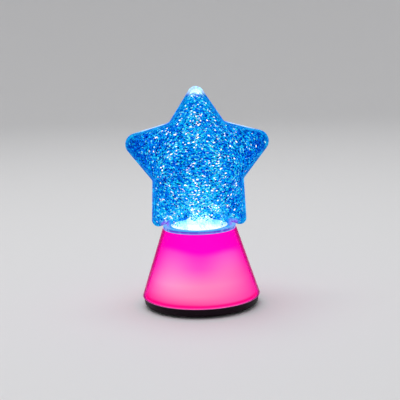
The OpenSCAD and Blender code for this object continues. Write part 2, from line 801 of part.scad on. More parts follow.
// Base: side, floor, lip for the cones, bay for the cells, bosses for the legs
module base_tub() {
  inside = min(base_foot_r - base_wall, lip_out - lip_w);
  color([0.08, 0.08, 0.09]) difference() {
    union() {
      rotate_extrude() polygon([
        [0, z_under], [base_foot_r - base_round, z_under], [base_foot_r, z_under + base_round],
        [base_r, z_cone], [lip_out, z_cone], [lip_out_top, lip_top], [lip_out_top - lip_w, lip_top],
        [lip_out - lip_w, z_cone], [inside, z_floor], [0, z_floor]
      ]);
      translate([-bay_half_x - bay_wall, -bay_half_y - bay_wall, z_floor - cut])
        cube([2 * (bay_half_x + bay_wall), 2 * (bay_half_y + bay_wall), z_roof - z_floor + cut]);
      for (s = [-1, 1]) translate([0, s * leg_y, z_floor - cut]) cylinder(h = boss_h + cut, r = boss_r);
      translate([0, 0, z_roof - cut]) around(4, stake_x) {
        cylinder(h = board_standoff + cut, r = shoulder_r);
        cylinder(h = board_standoff + board_h + stake_rise + cut, r = stake_r);
      }
    }
    // Bay, open below
    translate([-bay_half_x, -bay_half_y, z_under - cut])
      cube([2 * bay_half_x - door_lip, 2 * bay_half_y, z_bay - z_under + cut]);
    translate([-bay_half_x, -bay_half_y, z_under - cut])
      cube([2 * bay_half_x, 2 * bay_half_y, floor_h + cut]);
    translate([-bay_half_x, -bay_half_y, z_floor + door_lip])
      cube([2 * bay_half_x, 2 * bay_half_y, z_bay - z_floor - door_lip]);
    // Hinge sockets, slots for the contact tabs, screw holes, foot seats and the switch's slot
    translate([hinge_x, 0, hinge_z]) rotate([90, 0, 0])
      cylinder(h = 2 * (door_half_y + peg_len + peg_end_gap), r = peg_r + running_clearance, center = true);
    contact_tabs(cut);
    for (s = [-1, 1]) translate([0, s * leg_y, z_under - cut]) {
      cylinder(h = floor_h + cut, r = base_head_r + head_clearance);
      cylinder(h = floor_h + boss_h + 2 * cut, r = base_screw_r);
    }
    translate([0, 0, z_under - cut])
      around(foot_count, foot_ring, 45) cylinder(h = foot_seat + cut, r = foot_r);
    translate([-knob_slot.x / 2, switch_y - knob_slot.y / 2, z_under - cut])
      cube([knob_slot.x, knob_slot.y, floor_h + 2 * cut]);
  }
}

module base_screws() {
  color("Silver") for (s = [-1, 1]) translate([0, s * leg_y, z_floor]) {
    translate([0, 0, -base_head_h]) cylinder(h = base_head_h, r = base_head_r);
    translate([0, 0, -cut]) cylinder(h = boss_h + base_screw_bite - 1 + cut, r = base_screw_r);
  }
}

module control_board() {
  color("DarkGreen") difference() {
    translate([-board_w / 2, -board_w / 2, z_board]) cube([board_w, board_w, board_h]);
    translate([0, 0, z_board - cut]) around(4, stake_x) cylinder(h = board_h + 2 * cut, r = stake_r);
  }
}

module control_chip() {
  color([0.1, 0.1, 0.1]) translate([-chip.x / 2, chip_y, z_board_top]) cube(chip);
}

module base_leds() {
  color("LightPink") for (x = [-1, 1], y = [-1, 1])
    translate([x * base_led_x - base_led_w / 2, y * base_led_x - base_led_w / 2, z_board_top])
      cube([base_led_w, base_led_w, base_led_h]);
}

// A cell along X: side 1 has its nub towards +X
module cell(row, side) {
  translate([0, row * cell_pitch, z_cell]) rotate([0, side * 90, 0]) {
    nub_at = bay_half_x - contact_t;
    translate([0, 0, nub_at - cell_len]) cylinder(h = cell_len - nub_h, r = cell_r);
    translate([0, 0, nub_at - nub_h - cut]) cylinder(h = nub_h + cut, r = nub_r);
  }
}

module battery_1() { color("DarkSlateGray") cell(-1, 1); }

module battery_2() { color("DarkSlateGray") cell(0, -1); }

module battery_3() { color("DarkSlateGray") cell(1, 1); }

// Contact plates stand against the bay's end walls, and each has a tab up to the control board
module contact_plate(row, side) {
  x = side > 0 ? bay_half_x - contact_t : -bay_half_x;
  translate([x, row * cell_pitch - contact_w / 2, z_floor + door_lip])
    cube([contact_t, contact_w, z_bay - z_floor - door_lip]);
}

module contact_tab(row, side, spare) {
  x = side > 0 ? bay_half_x - contact_t : -bay_half_x;
  translate([x, row * cell_pitch - contact_w / 4, z_bay - cut])
    cube([contact_t, contact_w / 2, bay_wall + spare + cut]);
}

module contact_tabs(spare) {
  for (row = [-1 : 1], side = [-1, 1]) contact_tab(row, side, spare);
}

module plate_contacts() {
  color("Gold") for (row = [-1 : 1]) {
    side = row == 0 ? -1 : 1;
    contact_plate(row, side);
    contact_tab(row, side, 0);
  }
}

// Each spring contact is a plate with a bowed leaf that reaches the cell's flat end
module spring_contacts() {
  bow = spring_room;
  color("Goldenrod") for (row = [-1 : 1]) {
    side = row == 0 ? 1 : -1;
    contact_plate(row, side);
    contact_tab(row, side, 0);
    translate([side * (bay_half_x - contact_t), row * cell_pitch + contact_w / 2, z_cell]) rotate([90, 0, 0])
      intersection() {
        translate([side > 0 ? -2 * bow : -contact_t / 2, -2 * bow, 0])
          cube([2 * bow + contact_t / 2, 4 * bow, contact_w]);
        tube(contact_w, bow, bow - contact_t);
      }
  }
}

// Door under the cells, with a round hinge edge and a peg at each end of it
module battery_door() {
  color([0.1, 0.1, 0.11]) {
    difference() {
      translate([hinge_x, -door_half_y, door_low]) cube([door_end - hinge_x, 2 * door_half_y, door_h]);
      translate([door_end - finger_inset, 0, door_low]) rotate([90, 0, 0])
        cylinder(h = finger_w, r = finger_r, center = true);
    }
    translate([hinge_x, 0, hinge_z]) rotate([90, 0, 0]) {
      cylinder(h = 2 * door_half_y, r = door_h / 2, center = true);
      cylinder(h = 2 * (door_half_y + peg_len), r = peg_r, center = true);
    }
  }
}

module switch_body() {
  room_w = knob_shoe_w + switch_travel + 2 * knob_clearance;
  room_d = knob_shoe_d + 2 * knob_clearance;
  color("DarkSlateGray") translate([0, switch_y, 0]) difference() {
    translate([-switch_w / 2, -switch_d / 2, z_floor]) cube([switch_w, switch_d, switch_h]);
    translate([-room_w / 2, -room_d / 2, z_knob_shoe - knob_clearance])
      cube([room_w, room_d, knob_shoe_h + 2 * knob_clearance]);
    translate([-knob_slot.x / 2, -knob_slot.y / 2, z_floor - cut])
      cube([knob_slot.x, knob_slot.y, z_knob_shoe - z_floor + cut]);
  }
}

// Knob at the off end of its travel, -X
module switch_knob() {
  color([0.15, 0.15, 0.16]) translate([-switch_travel / 2, switch_y, 0]) {
    translate([-knob_shoe_w / 2, -knob_shoe_d / 2, z_knob_shoe])
      cube([knob_shoe_w, knob_shoe_d, knob_shoe_h]);
    translate([-knob_w / 2, -knob_d / 2, z_under - knob_drop])
      cube([knob_w, knob_d, z_knob_shoe - z_under + knob_drop + cut]);
  }
}

module rubber_feet() {
  color("DimGray") around(foot_count, foot_ring, 45) cylinder(h = foot_h + foot_seat, r = foot_r);
}

module motor_leads() {
  color("Red") for (s = [-1, 1])
    wire([[s * motor_lead_x, 0, z_board_top], [s * motor_lead_x, 0, z_motor_cap]], wire_r);
}

module led_leads() {
  color("Red") for (s = [-1, 1]) translate([s * led_lead_x, led_lead_y, 0])
    wire([[0, 0, z_board_top], [0, 0, z_deck + board_h / 2]], wire_r);
}

module switch_leads() {
  z_case = z_floor + switch_h;
  color("Black") for (s = [-1, 1]) wire([
    [s * switch_lead_x, switch_y, z_case], [s * switch_lead_x, switch_y, z_case + switch_lead_rise],
    [s * switch_lead_turn.x, switch_lead_turn.y, z_board_top + switch_lead_rise / 2],
    [s * switch_lead_turn.x, switch_lead_turn.y, z_board_top]
  ], wire_r);
}

bottle_front();
bottle_rear();
glitter_liquid();
glitter_flakes();
neck_collar();
stopper();
stopper_seal();
stopper_screws();
pivot_pin();
impeller();
impeller_magnets();
cone_shell();
cone_diffuser();
deck();
deck_screws();
star_light_board();
star_leds();
motor_can();
motor_end_cap();
motor_screws();
motor_shaft();
magnet_carrier();
drive_magnets();
base_tub();
base_screws();
control_board();
control_chip();
base_leds();
battery_1();
battery_2();
battery_3();
spring_contacts();
plate_contacts();
battery_door();
switch_body();
switch_knob();
rubber_feet();
motor_leads();
led_leads();
switch_leads();
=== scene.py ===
"""Looks of a star glitter lamp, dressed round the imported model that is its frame."""

from __future__ import annotations

import logging
import math
from dataclasses import dataclass, field
from enum import Enum
from typing import Sequence

import bpy
import numpy as np
from mathutils import Matrix, Vector

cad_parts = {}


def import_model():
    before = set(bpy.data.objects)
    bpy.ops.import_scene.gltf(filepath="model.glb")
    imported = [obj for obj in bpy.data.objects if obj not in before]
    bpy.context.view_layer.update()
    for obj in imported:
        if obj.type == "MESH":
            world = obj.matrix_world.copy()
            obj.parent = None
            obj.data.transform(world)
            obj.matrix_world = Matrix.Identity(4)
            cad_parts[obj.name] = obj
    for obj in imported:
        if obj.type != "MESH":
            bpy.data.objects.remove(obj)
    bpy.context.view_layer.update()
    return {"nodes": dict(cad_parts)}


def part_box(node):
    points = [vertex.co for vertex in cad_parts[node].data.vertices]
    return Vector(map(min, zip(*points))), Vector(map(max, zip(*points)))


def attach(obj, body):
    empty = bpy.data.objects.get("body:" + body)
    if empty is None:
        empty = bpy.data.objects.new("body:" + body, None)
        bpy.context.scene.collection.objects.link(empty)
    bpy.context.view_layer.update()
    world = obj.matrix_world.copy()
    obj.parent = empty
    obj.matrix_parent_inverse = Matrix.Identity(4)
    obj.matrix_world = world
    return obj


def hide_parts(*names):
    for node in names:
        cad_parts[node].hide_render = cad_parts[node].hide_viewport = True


log = logging.getLogger("star_lamp")

MM = 0.001
FULL_TURN = 2 * math.pi
CREASE = math.radians(35)
LATHE_STEPS = 192
CORNER_STEPS = 5
IMAGE_SIDE = 400
HOUSING = "housing"

Rgb = tuple[float, float, float]
Span = tuple[float, float]
Stops = Sequence[tuple[float, Rgb]]
Points = np.ndarray
Faces = list[tuple[int, ...]]
Nodes = dict[str, bpy.types.Object]


def srgb(red: float, green: float, blue: float) -> Rgb:
    """Turns a colour as a screen shows it into the linear colour that shaders use.

    Args:
        red: Red from 0 to 255.
        green: Green from 0 to 255.
        blue: Blue from 0 to 255.

    Returns:
        The linear colour, each part from 0 to 1.
    """
    shown = [part / 255 for part in (red, green, blue)]
    return tuple(part / 12.92 if part <= 0.04045 else ((part + 0.055) / 1.055) ** 2.4 for part in shown)


def scaled(colour: Rgb, factor: float) -> Rgb:
    """Makes a colour brighter or darker."""
    return tuple(part * factor for part in colour)


class Wire:
    """A shader socket that takes part in Python expressions."""

    def __init__(self, shade: Shade, socket: bpy.types.NodeSocket) -> None:
        """Keeps the socket and the material that it belongs to.

        Args:
            shade: The material under construction.
            socket: The output socket.
        """
        self.shade = shade
        self.socket = socket

    def math(self, operation: str, *others: Value) -> Wire:
        """Adds a Math node that starts from this value.

        Args:
            operation: The Math node's operation.
            others: The values of its other sockets.

        Returns:
            The result.
        """
        values = dict(enumerate((self, *others)))
        return self.shade.node("ShaderNodeMath", {"operation": operation}, values)

    def swapped(self, operation: str, first: Value) -> Wire:
        """Adds a Math node that has this value second."""
        return self.shade.node("ShaderNodeMath", {"operation": operation}, {0: first, 1: self})

    def __add__(self, other: Value) -> Wire:
        """Adds a value."""
        return self.math("ADD", other)

    def __radd__(self, other: Value) -> Wire:
        """Is added to a value."""
        return self.swapped("ADD", other)

    def __sub__(self, other: Value) -> Wire:
        """Takes a value away."""
        return self.math("SUBTRACT", other)

    def __rsub__(self, other: Value) -> Wire:
        """Is taken away from a value."""
        return self.swapped("SUBTRACT", other)

    def __mul__(self, other: Value) -> Wire:
        """Multiplies by a value."""
        return self.math("MULTIPLY", other)

    def __rmul__(self, other: Value) -> Wire:
        """Is multiplied with a value."""
        return self.swapped("MULTIPLY", other)

    def __truediv__(self, other: Value) -> Wire:
        """Divides by a value."""
        return self.math("DIVIDE", other)

    def __pow__(self, other: Value) -> Wire:
        """Is raised to a power."""
        return self.math("POWER", other)

    def __abs__(self) -> Wire:
        """Drops the sign."""
        return self.math("ABSOLUTE")

    def between(self, low: float, high: float) -> Wire:
        """Maps low to 0 and high to 1, smoothly and with nothing beyond.

        Args:
            low: The value that gives 0.
            high: The value that gives 1.

        Returns:
            The smooth share.
        """
        settings = {"interpolation_type": "SMOOTHSTEP", "clamp": True}
        sockets = {"Value": self, "From Min": low, "From Max": high}
        return self.shade.node("ShaderNodeMapRange", settings, sockets)


Value = Wire | float | int | Sequence[float]
Sockets = dict[str | int, Value]


class Shade:
    """A node material under construction."""

    def __init__(self, name: str) -> None:
        """Starts an empty material.

        Args:
            name: The material's name.
        """
        self.material = bpy.data.materials.new(name)
        self.material.use_nodes = True
        self.tree = self.material.node_tree
        self.tree.nodes.clear()
        self.output = self.tree.nodes.new("ShaderNodeOutputMaterial")

    def node(
        self, kind: str, settings: dict[str, object] | None = None, sockets: Sockets | None = None,
        output: str | int = 0,
    ) -> Wire:
        """Adds a node, with its settings first and its sockets after them.

        Args:
            kind: The node's type.
            settings: Its properties, and the stops of a ramp as (place, colour) pairs.
            sockets: Values or links of its inputs, by name or by number.
            output: The output that is wanted.

        Returns:
            That output.
        """
        made = self.tree.nodes.new(kind)
        for key, value in (settings or {}).items():
            if key == "stops":
                self.set_stops(made.color_ramp, value)
            else:
                setattr(made, key, value)
        for key, value in (sockets or {}).items():
            socket = made.inputs[key]
            if isinstance(value, Wire):
                self.tree.links.new(value.socket, socket)
            elif socket.type == "RGBA" and len(value) == 3:
                socket.default_value = (*value, 1.0)
            else:
                socket.default_value = value
        return Wire(self, made.outputs[output])

    @staticmethod
    def set_stops(ramp: bpy.types.ColorRamp, stops: Stops) -> None:
        """Gives a ramp its stops.

        Args:
            ramp: The ramp.
            stops: Its places and colours, from low to high.
        """
        while len(ramp.elements) < len(stops):
            ramp.elements.new(1.0)
        for element, (place, colour) in zip(ramp.elements, stops):
            element.position = place
            element.color = (*colour, 1.0)

    def place(self) -> tuple[Wire, Wire, Wire, Wire]:
        """Gives the point on the piece, whole and as X, Y and Z.

        Returns:
            The vector and its three parts, in metres.
        """
        vector = self.node("ShaderNodeTexCoord", output="Object")
        split = self.node("ShaderNodeSeparateXYZ", sockets={0: vector})
        across, along, up = (Wire(self, part) for part in split.socket.node.outputs)
        return vector, across, along, up

    def noise(self, scale: float, detail: float, roughness: float = 0.5) -> Wire:
        """Adds a noise on Object coordinates.

        Args:
            scale: Patches per metre.
            detail: How many finer noises are added.
            roughness: How strong those are.

        Returns:
            The noise, from 0 to 1 round 0.5.
        """
        sockets = {"Vector": self.place()[0], "Scale": scale, "Detail": detail, "Roughness": roughness}
        return self.node("ShaderNodeTexNoise", sockets=sockets)

    def ramp(self, value: Wire, stops: Stops) -> Wire:
        """Turns a value from 0 to 1 into a colour."""
        return self.node("ShaderNodeValToRGB", {"stops": stops}, {"Fac": value})

    def mix(self, share: Value, first: Value, second: Value) -> Wire:
        """Mixes a share of the second colour into the first."""
        sockets = {0: share, 6: first, 7: second}
        return self.node("ShaderNodeMix", {"data_type": "RGBA"}, sockets, output=2)

    def bump(self, height: Wire, strength: float, distance: float) -> Wire:
        """Turns a height, whose 1 is a distance in metres, into a normal."""
        sockets = {"Height": height, "Strength": strength, "Distance": distance}
        return self.node("ShaderNodeBump", sockets=sockets)

    def principled(self, sockets: Sockets) -> Wire:
        """Adds the main shader."""
        return self.node("ShaderNodeBsdfPrincipled", sockets=sockets)

    def done(self, surface: Wire, volume: Wire | None = None) -> bpy.types.Material:
        """Joins the shaders to the output.

        Args:
            surface: The surface shader.
            volume: The shader of what is inside, if anything.

        Returns:
            The finished material.
        """
        self.tree.links.new(surface.socket, self.output.inputs["Surface"])
        if volume is not None:
            self.tree.links.new(volume.socket, self.output.inputs["Volume"])
        return self.material


@dataclass(frozen=True)
class Mottle:
    """Patches on a surface: how fine they are, and the part of their noise that shows."""

    scale: float
    detail: float
    low: float
    high: float

    def on(self, shade: Shade) -> Wire:
        """Gives the patches as shares from 0 to 1."""
        return shade.noise(self.scale, self.detail).between(self.low, self.high)


@dataclass(frozen=True)
class Veil:
    """What a clear wall does to the light that comes through it."""

    through: Rgb
    added: Rgb
    peak: float

    def light(self, seen: Rgb) -> Rgb:
        """Gives the light behind the wall that looks like a colour in front of it."""
        return tuple(max(c - a, 0.0) / t for c, a, t in zip(seen, self.added, self.through))

    def behind(self, seen: Rgb) -> Rgb:
        """Gives that light as a share of the peak."""
        return tuple(part / self.peak for part in self.light(seen))

    def stops(self, seen: Stops) -> Stops:
        """Gives the stops of a ramp as shares of the peak."""
        return [(place, self.behind(colour)) for place, colour in seen]


STAR_VEIL = Veil(through=(0.145, 0.61, 0.98), added=(0.003, 0.02, 0.18), peak=7.0)
CONE_VEIL = Veil(through=(0.69, 0.305, 0.85), added=(0.31, 0.005, 0.15), peak=2.0)


class Finish:
    """A look that surfaces can share. Its material is made once."""

    name: str

    def material(self) -> bpy.types.Material:
        """Gives the material, made on first use."""
        return bpy.data.materials.get(self.name) or self.make(Shade(self.name))

    def make(self, shade: Shade) -> bpy.types.Material:
        """Builds the nodes of a finish that the main shader alone can give."""
        return shade.done(shade.principled(self.sockets(shade)))

    def sockets(self, shade: Shade) -> Sockets:
        """Builds what feeds the main shader.

        Args:
            shade: The material under construction.

        Returns:
            Values or links of the shader's inputs.
        """
        raise NotImplementedError


@dataclass(frozen=True)
class ClearPlastic(Finish):
    """Clear moulded plastic, tinted, with a painted glow that gathers at one end."""

    name: str
    tint: Rgb
    depth_colour: Rgb
    depth_density: float
    # glow and end_glow are painted light: the clear plastic glows though it is no lamp, more at one end
    glow: Rgb
    end_glow: Rgb
    end: Span
    ior: float = 1.03
    smooth: float = 0.015
    smudged: float = 0.05
    smudges: Mottle = Mottle(90, 4, 0.45, 0.75)

    def make(self, shade: Shade) -> bpy.types.Material:
        """Builds the nodes, with the tint of the depth as a volume.

        Args:
            shade: The empty material.

        Returns:
            The finished material.
        """
        surface = shade.principled(self.sockets(shade))
        depth = {"Color": self.depth_colour, "Density": self.depth_density}
        return shade.done(surface, shade.node("ShaderNodeVolumeAbsorption", sockets=depth))

    def sockets(self, shade: Shade) -> Sockets:
        """Builds what feeds the main shader.

        Args:
            shade: The material under construction.

        Returns:
            Values or links of the shader's inputs.
        """
        return {
            "Roughness": self.smooth + self.smudges.on(shade) * (self.smudged - self.smooth),
            "Base Color": self.stain(shade),
            "IOR": self.ior,
            "Transmission Weight": 1.0,
            "Emission Color": self.light(shade),
            "Emission Strength": 1.0,
        }

    def stain(self, shade: Shade) -> Value:
        """Gives the plastic's tint."""
        return self.tint

    def light(self, shade: Shade) -> Wire:
        """Gives the plastic's painted glow."""
        _, _, _, up = shade.place()
        return shade.mix(up.between(*self.end), self.glow, self.end_glow)


@dataclass(frozen=True)
class StarWall(ClearPlastic):
    """Mottled wall of the star, with a painted highlight along the top of its arms, painted glowing specks,
    and painted pink light from the cone on its underside.
    """

    pale_tint: Rgb = (0.06, 0.66, 1.0)
    side_tints: tuple[Rgb, Rgb] = ((0.0, 0.05, 0.45), (0.02, 0.85, 1.0))
    side: Span = (9.0 * MM, 4.0 * MM)
    side_edge: Span = (0.25, 0.75)
    patches: Mottle = Mottle(190, 3, 0.36, 0.64)
    specks: Mottle = Mottle(1000, 2, 0.4, 0.6)
    # painted light: the wall glows in fine specks of this colour
    speck_glow: Rgb = (0.0, 0.07, 0.26)
    lit_specks: Mottle = Mottle(800, 2, 0.42, 0.6)
    # painted highlight: a thin line of light along the top ridge of the side arms
    glint: Rgb = (0.6, 0.74, 0.6)
    corner: Span = (19.8 * MM, 134.5 * MM)
    fall: float = 0.2785
    depth: Span = (0.8 * MM, 0.3 * MM)
    ridge: Span = (3.2 * MM, 1.0 * MM)
    inner: Span = (19.0 * MM, 25.0 * MM)
    outer: Span = (45.0 * MM, 36.0 * MM)
    # painted reflection: pink light from the cone on the star's underside near the neck
    pink_reflection: Rgb = (0.36, 0.0, 0.3)
    pink_reflection_even: float = 0.4
    pink_reflection_top: Span = (66.0 * MM, 61.5 * MM)
    pink_reflection_inner: Span = (20.0 * MM, 23.5 * MM)
    pink_reflection_outer: Span = (29.0 * MM, 26.0 * MM)

    def stain(self, shade: Shade) -> Value:
        """Gives the wall's tint.

        Args:
            shade: The material under construction.

        Returns:
            The tint, with more contrast on the side of the star than on its faces.
        """
        _, _, along, _ = shade.place()
        share = 0.5 * self.patches.on(shade) + 0.5 * self.specks.on(shade)
        front = shade.mix(share, self.tint, self.pale_tint)
        side = shade.mix(share.between(*self.side_edge), *self.side_tints)
        return shade.mix(abs(along).between(*self.side), front, side)

    def light(self, shade: Shade) -> Wire:
        """Gives the wall's painted light.

        Args:
            shade: The material under construction.

        Returns:
            The light's colour.
        """
        _, across, along, up = shade.place()
        aside = abs(across)
        # painted highlight along the top ridge of the side arms
        below = self.corner[1] - self.fall * (aside - self.corner[0]) - up
        on_top = below.between(*self.depth) * abs(along).between(*self.ridge)
        glint = on_top * aside.between(*self.inner) * aside.between(*self.outer)
        # painted glowing specks in the wall
        specks = self.lit_specks.on(shade)
        # painted pink reflection of the cone, low on the star beside the neck
        by_cone = aside.between(*self.pink_reflection_inner) * aside.between(*self.pink_reflection_outer)
        uneven = self.pink_reflection_even + (1 - self.pink_reflection_even) * specks
        pink_reflection = by_cone * up.between(*self.pink_reflection_top) * uneven
        glow = shade.mix(pink_reflection, shade.mix(specks, self.glow, self.speck_glow), self.pink_reflection)
        return shade.mix(glint, shade.mix(up.between(*self.end), glow, self.end_glow), self.glint)


@dataclass(frozen=True)
class InnerWall(Finish):
    """Inner face of the bottle: it vanishes against the liquid, and above the liquid's level it glows in a
    ragged white band of painted light.
    """

    level: float
    name: str = "inner wall of the bottle"
    pale: Rgb = srgb(200, 212, 216)
    cool: Rgb = srgb(120, 170, 200)
    tip_glow: Span = (1.8 * MM, 4.2 * MM)
    creep: float = 4 * MM
    rim: Span = (0.5 * MM, 5 * MM)
    drops: Span = (900, 2)
    drop_edge: Span = (0.35, 0.6)
    drop_height: float = 3 * MM

    def make(self, shade: Shade) -> bpy.types.Material:
        """Builds the nodes.

        Args:
            shade: The empty material.

        Returns:
            The finished material.
        """
        # painted light: above the liquid the wall glows, ragged at its edge and creeping up at the rim
        _, _, along, up = shade.place()
        rim = 1 - abs(along).between(*self.rim)
        drops = shade.noise(*self.drops)
        reach = up + self.creep * rim + self.drop_height * (drops - 0.5)
        tip_glow = reach.between(*(self.level + height for height in self.tip_glow))
        cool, pale = STAR_VEIL.behind(self.cool), STAR_VEIL.behind(self.pale)
        lit = shade.principled({
            "Base Color": (0.5, 0.6, 0.65),
            "Roughness": 0.35,
            "Emission Color": shade.mix(drops.between(*self.drop_edge), cool, pale),
            "Emission Strength": STAR_VEIL.peak,
        })
        clear = shade.node("ShaderNodeBsdfTransparent", sockets={"Color": (1.0, 1.0, 1.0)})
        return shade.done(shade.node("ShaderNodeMixShader", sockets={0: tip_glow, 1: clear, 2: lit}))


@dataclass(frozen=True)
class DeepLiquid(Finish):
    """Liquid behind the flakes: lit from below, darker towards the arms."""

    name: str = "deep lit liquid"
    stops: Stops = (
        (0.0, srgb(2, 40, 140)),
        (0.3, srgb(3, 76, 192)),
        (0.55, srgb(6, 128, 228)),
        (0.8, srgb(26, 178, 242)),
        (1.0, srgb(120, 228, 246)),
    )
    middle: float = 0.5
    reach: float = 52 * MM
    arm_loss: float = 0.36
    low: Span = (64 * MM, 98 * MM)
    low_gain: float = 0.35
    rim: Span = (2 * MM, 10 * MM)
    rim_gain: float = 0.06
    cloud: tuple[float, float, float] = (260, 4, 0.6)
    cloud_gain: float = 0.6
    rim_calm: float = 0.3

    def sockets(self, shade: Shade) -> Sockets:
        """Builds what feeds the main shader.

        Args:
            shade: The material under construction.

        Returns:
            Values or links of the shader's inputs.
        """
        _, across, along, up = shade.place()
        aside = abs(across) / self.reach
        low = 1 - up.between(*self.low)
        rim = 1 - abs(along).between(*self.rim)
        cloud = shade.noise(*self.cloud) - 0.5
        level = self.middle - self.arm_loss * aside + self.low_gain * low * (1 - aside) + self.rim_gain * rim
        level = level + (self.cloud_gain - self.rim_calm * rim) * cloud
        return {
            "Base Color": (0.0, 0.01, 0.05),
            "Roughness": 0.5,
            "Emission Color": shade.ramp(level, STAR_VEIL.stops(self.stops)),
            "Emission Strength": STAR_VEIL.peak,
        }


class Tone(Enum):
    """Colours of the flakes as seen, from those in shade to those that flash, and how common each is."""

    NAVY = (srgb(0, 12, 138), 1.0)
    DEEP = (srgb(0, 64, 214), 1.0)
    BLUE = (srgb(3, 120, 240), 1.0)
    AZURE = (srgb(8, 167, 246), 1.0)
    SKY = (srgb(36, 211, 247), 0.9)
    PALE = (srgb(120, 236, 251), 0.6)
    WHITE = ((1.5, 1.4, 1.3), 0.4)

    @property
    def colour(self) -> Rgb:
        """Gives the colour as seen."""
        return self.value[0]

    @property
    def common(self) -> float:
        """Gives how common the tone is."""
        return self.value[1]


@dataclass(frozen=True)
class Foil(Finish):
    """Foil of the flakes, one colour to a flake, glowing with painted light, with a painted sheen that shifts
    along it.
    """

    tone: Tone
    sheen: Mottle = Mottle(1100, 2, 0.3, 0.6)
    shadow: float = 0.7
    body: float = 0.2

    @property
    def name(self) -> str:
        """Names the foil for its tone."""
        return f"{self.tone.name.lower()} foil"

    def sockets(self, shade: Shade) -> Sockets:
        """Builds what feeds the main shader.

        Args:
            shade: The material under construction.

        Returns:
            Values or links of the shader's inputs.
        """
        # painted light: each flake glows, mixing between its shaded and its bright colour by the sheen
        light = STAR_VEIL.light(self.tone.colour)
        bright = tuple(part / max(light) for part in light)
        return {
            "Base Color": tuple(min(part, 1.0) * self.body for part in self.tone.colour),
            "Metallic": 0.9,
            "Roughness": 0.35,
            "Emission Color": shade.mix(self.sheen.on(shade), scaled(bright, self.shadow), bright),
            "Emission Strength": max(light),
        }


@dataclass(frozen=True)
class LitWindow(Finish):
    """Clear stopper over the star's lights, as bright as a lamp."""

    name: str = "lit stopper window"
    hot: Rgb = srgb(253, 255, 254)
    cool: Rgb = srgb(228, 250, 251)
    streak: Rgb = srgb(110, 228, 244)
    cooling: Span = (8 * MM, 18 * MM)
    streaks: Span = (420, 3)
    streak_edge: Span = (0.5, 0.72)
    streak_share: float = 0.3
    strength: float = 1.2

    def sockets(self, shade: Shade) -> Sockets:
        """Builds what feeds the main shader.

        Args:
            shade: The material under construction.

        Returns:
            Values or links of the shader's inputs.
        """
        _, across, along, _ = shade.place()
        radius = (across * across + along * along) ** 0.5
        hot, cool, pale = (STAR_VEIL.behind(seen) for seen in (self.hot, self.cool, self.streak))
        streak = shade.noise(*self.streaks)
        colour = shade.mix(radius.between(*self.cooling), hot, cool)
        return {
            "Base Color": (0.3, 0.35, 0.4),
            "Roughness": 0.2 + 0.2 * streak,
            "Emission Color": shade.mix(streak.between(*self.streak_edge) * self.streak_share, colour, pale),
            "Emission Strength": self.strength * STAR_VEIL.peak,
        }


@dataclass(frozen=True)
class FrostedPink(Finish):
    """Frosted inner cone, glowing with painted light from four lamps at its foot, with a painted shadow of
    the deck above.
    """

    name: str = "frosted pink cone"
    foot: float = 7.2 * MM
    height: float = 49.8 * MM
    lamps: int = 4
    clouds: Span = (60, 2)
    cloud_height: float = 0.01
    on_lamp: Stops = (
        (0.0, srgb(255, 40, 144)),
        (0.06, srgb(255, 76, 158)),
        (0.16, srgb(255, 128, 188)),
        (0.30, srgb(255, 158, 210)),
        (0.52, srgb(255, 122, 210)),
        (0.80, srgb(255, 48, 211)),
    )
    off_lamp: Stops = (
        (0.0, srgb(255, 40, 142)),
        (0.06, srgb(255, 76, 156)),
        (0.16, srgb(255, 122, 184)),
        (0.30, srgb(255, 132, 194)),
        (0.52, srgb(255, 72, 201)),
        (0.80, srgb(255, 26, 202)),
    )
    # painted light: weaker lamp light towards one side (weak), and a deeper pink band along the foot (hot)
    weak: Rgb = srgb(255, 92, 176)
    weak_share: float = 0.7
    weak_side: Span = (-12 * MM, 36 * MM)
    weak_top: Span = (0.35, 0.75)
    hot: Rgb = srgb(255, 0, 126)
    hot_edge: Span = (0.06, 0.025)
    shaded: Rgb = srgb(255, 0, 204)
    shade_edge: Span = (0.705, 0.81)
    shade_sag: float = 0.042
    shade_lean: float = 0.9

    def sockets(self, shade: Shade) -> Sockets:
        """Builds what feeds the main shader.

        Args:
            shade: The material under construction.

        Returns:
            Values or links of the shader's inputs.
        """
        _, across, along, up = shade.place()
        turn = along.math("ARCTAN2", across)
        lamp = 0.5 - 0.5 * (self.lamps * turn).math("COSINE")
        height = (up - self.foot) / self.height + self.cloud_height * (shade.noise(*self.clouds) - 0.5)
        off_lamp = shade.ramp(height, CONE_VEIL.stops(self.off_lamp))
        on_lamp = shade.ramp(height, CONE_VEIL.stops(self.on_lamp))
        # painted light: lamp lobes, a weaker side, a hot band at the foot and the deck's painted shadow band;
        # the dark pink base colour adds to the painted glow
        weakened = self.weak_share * across.between(*self.weak_side) * (1 - height.between(*self.weak_top))
        uneven = shade.mix(weakened, shade.mix(lamp, off_lamp, on_lamp), CONE_VEIL.behind(self.weak))
        edged = shade.mix(height.between(*self.hot_edge), uneven, CONE_VEIL.behind(self.hot))
        band = (height + self.shade_sag * (1 - lamp) + self.shade_lean * across).between(*self.shade_edge)
        return {
            "Base Color": (0.12, 0.01, 0.07),
            "Roughness": 0.55,
            "Emission Color": shade.mix(band, edged, CONE_VEIL.behind(self.shaded)),
            "Emission Strength": CONE_VEIL.peak,
        }


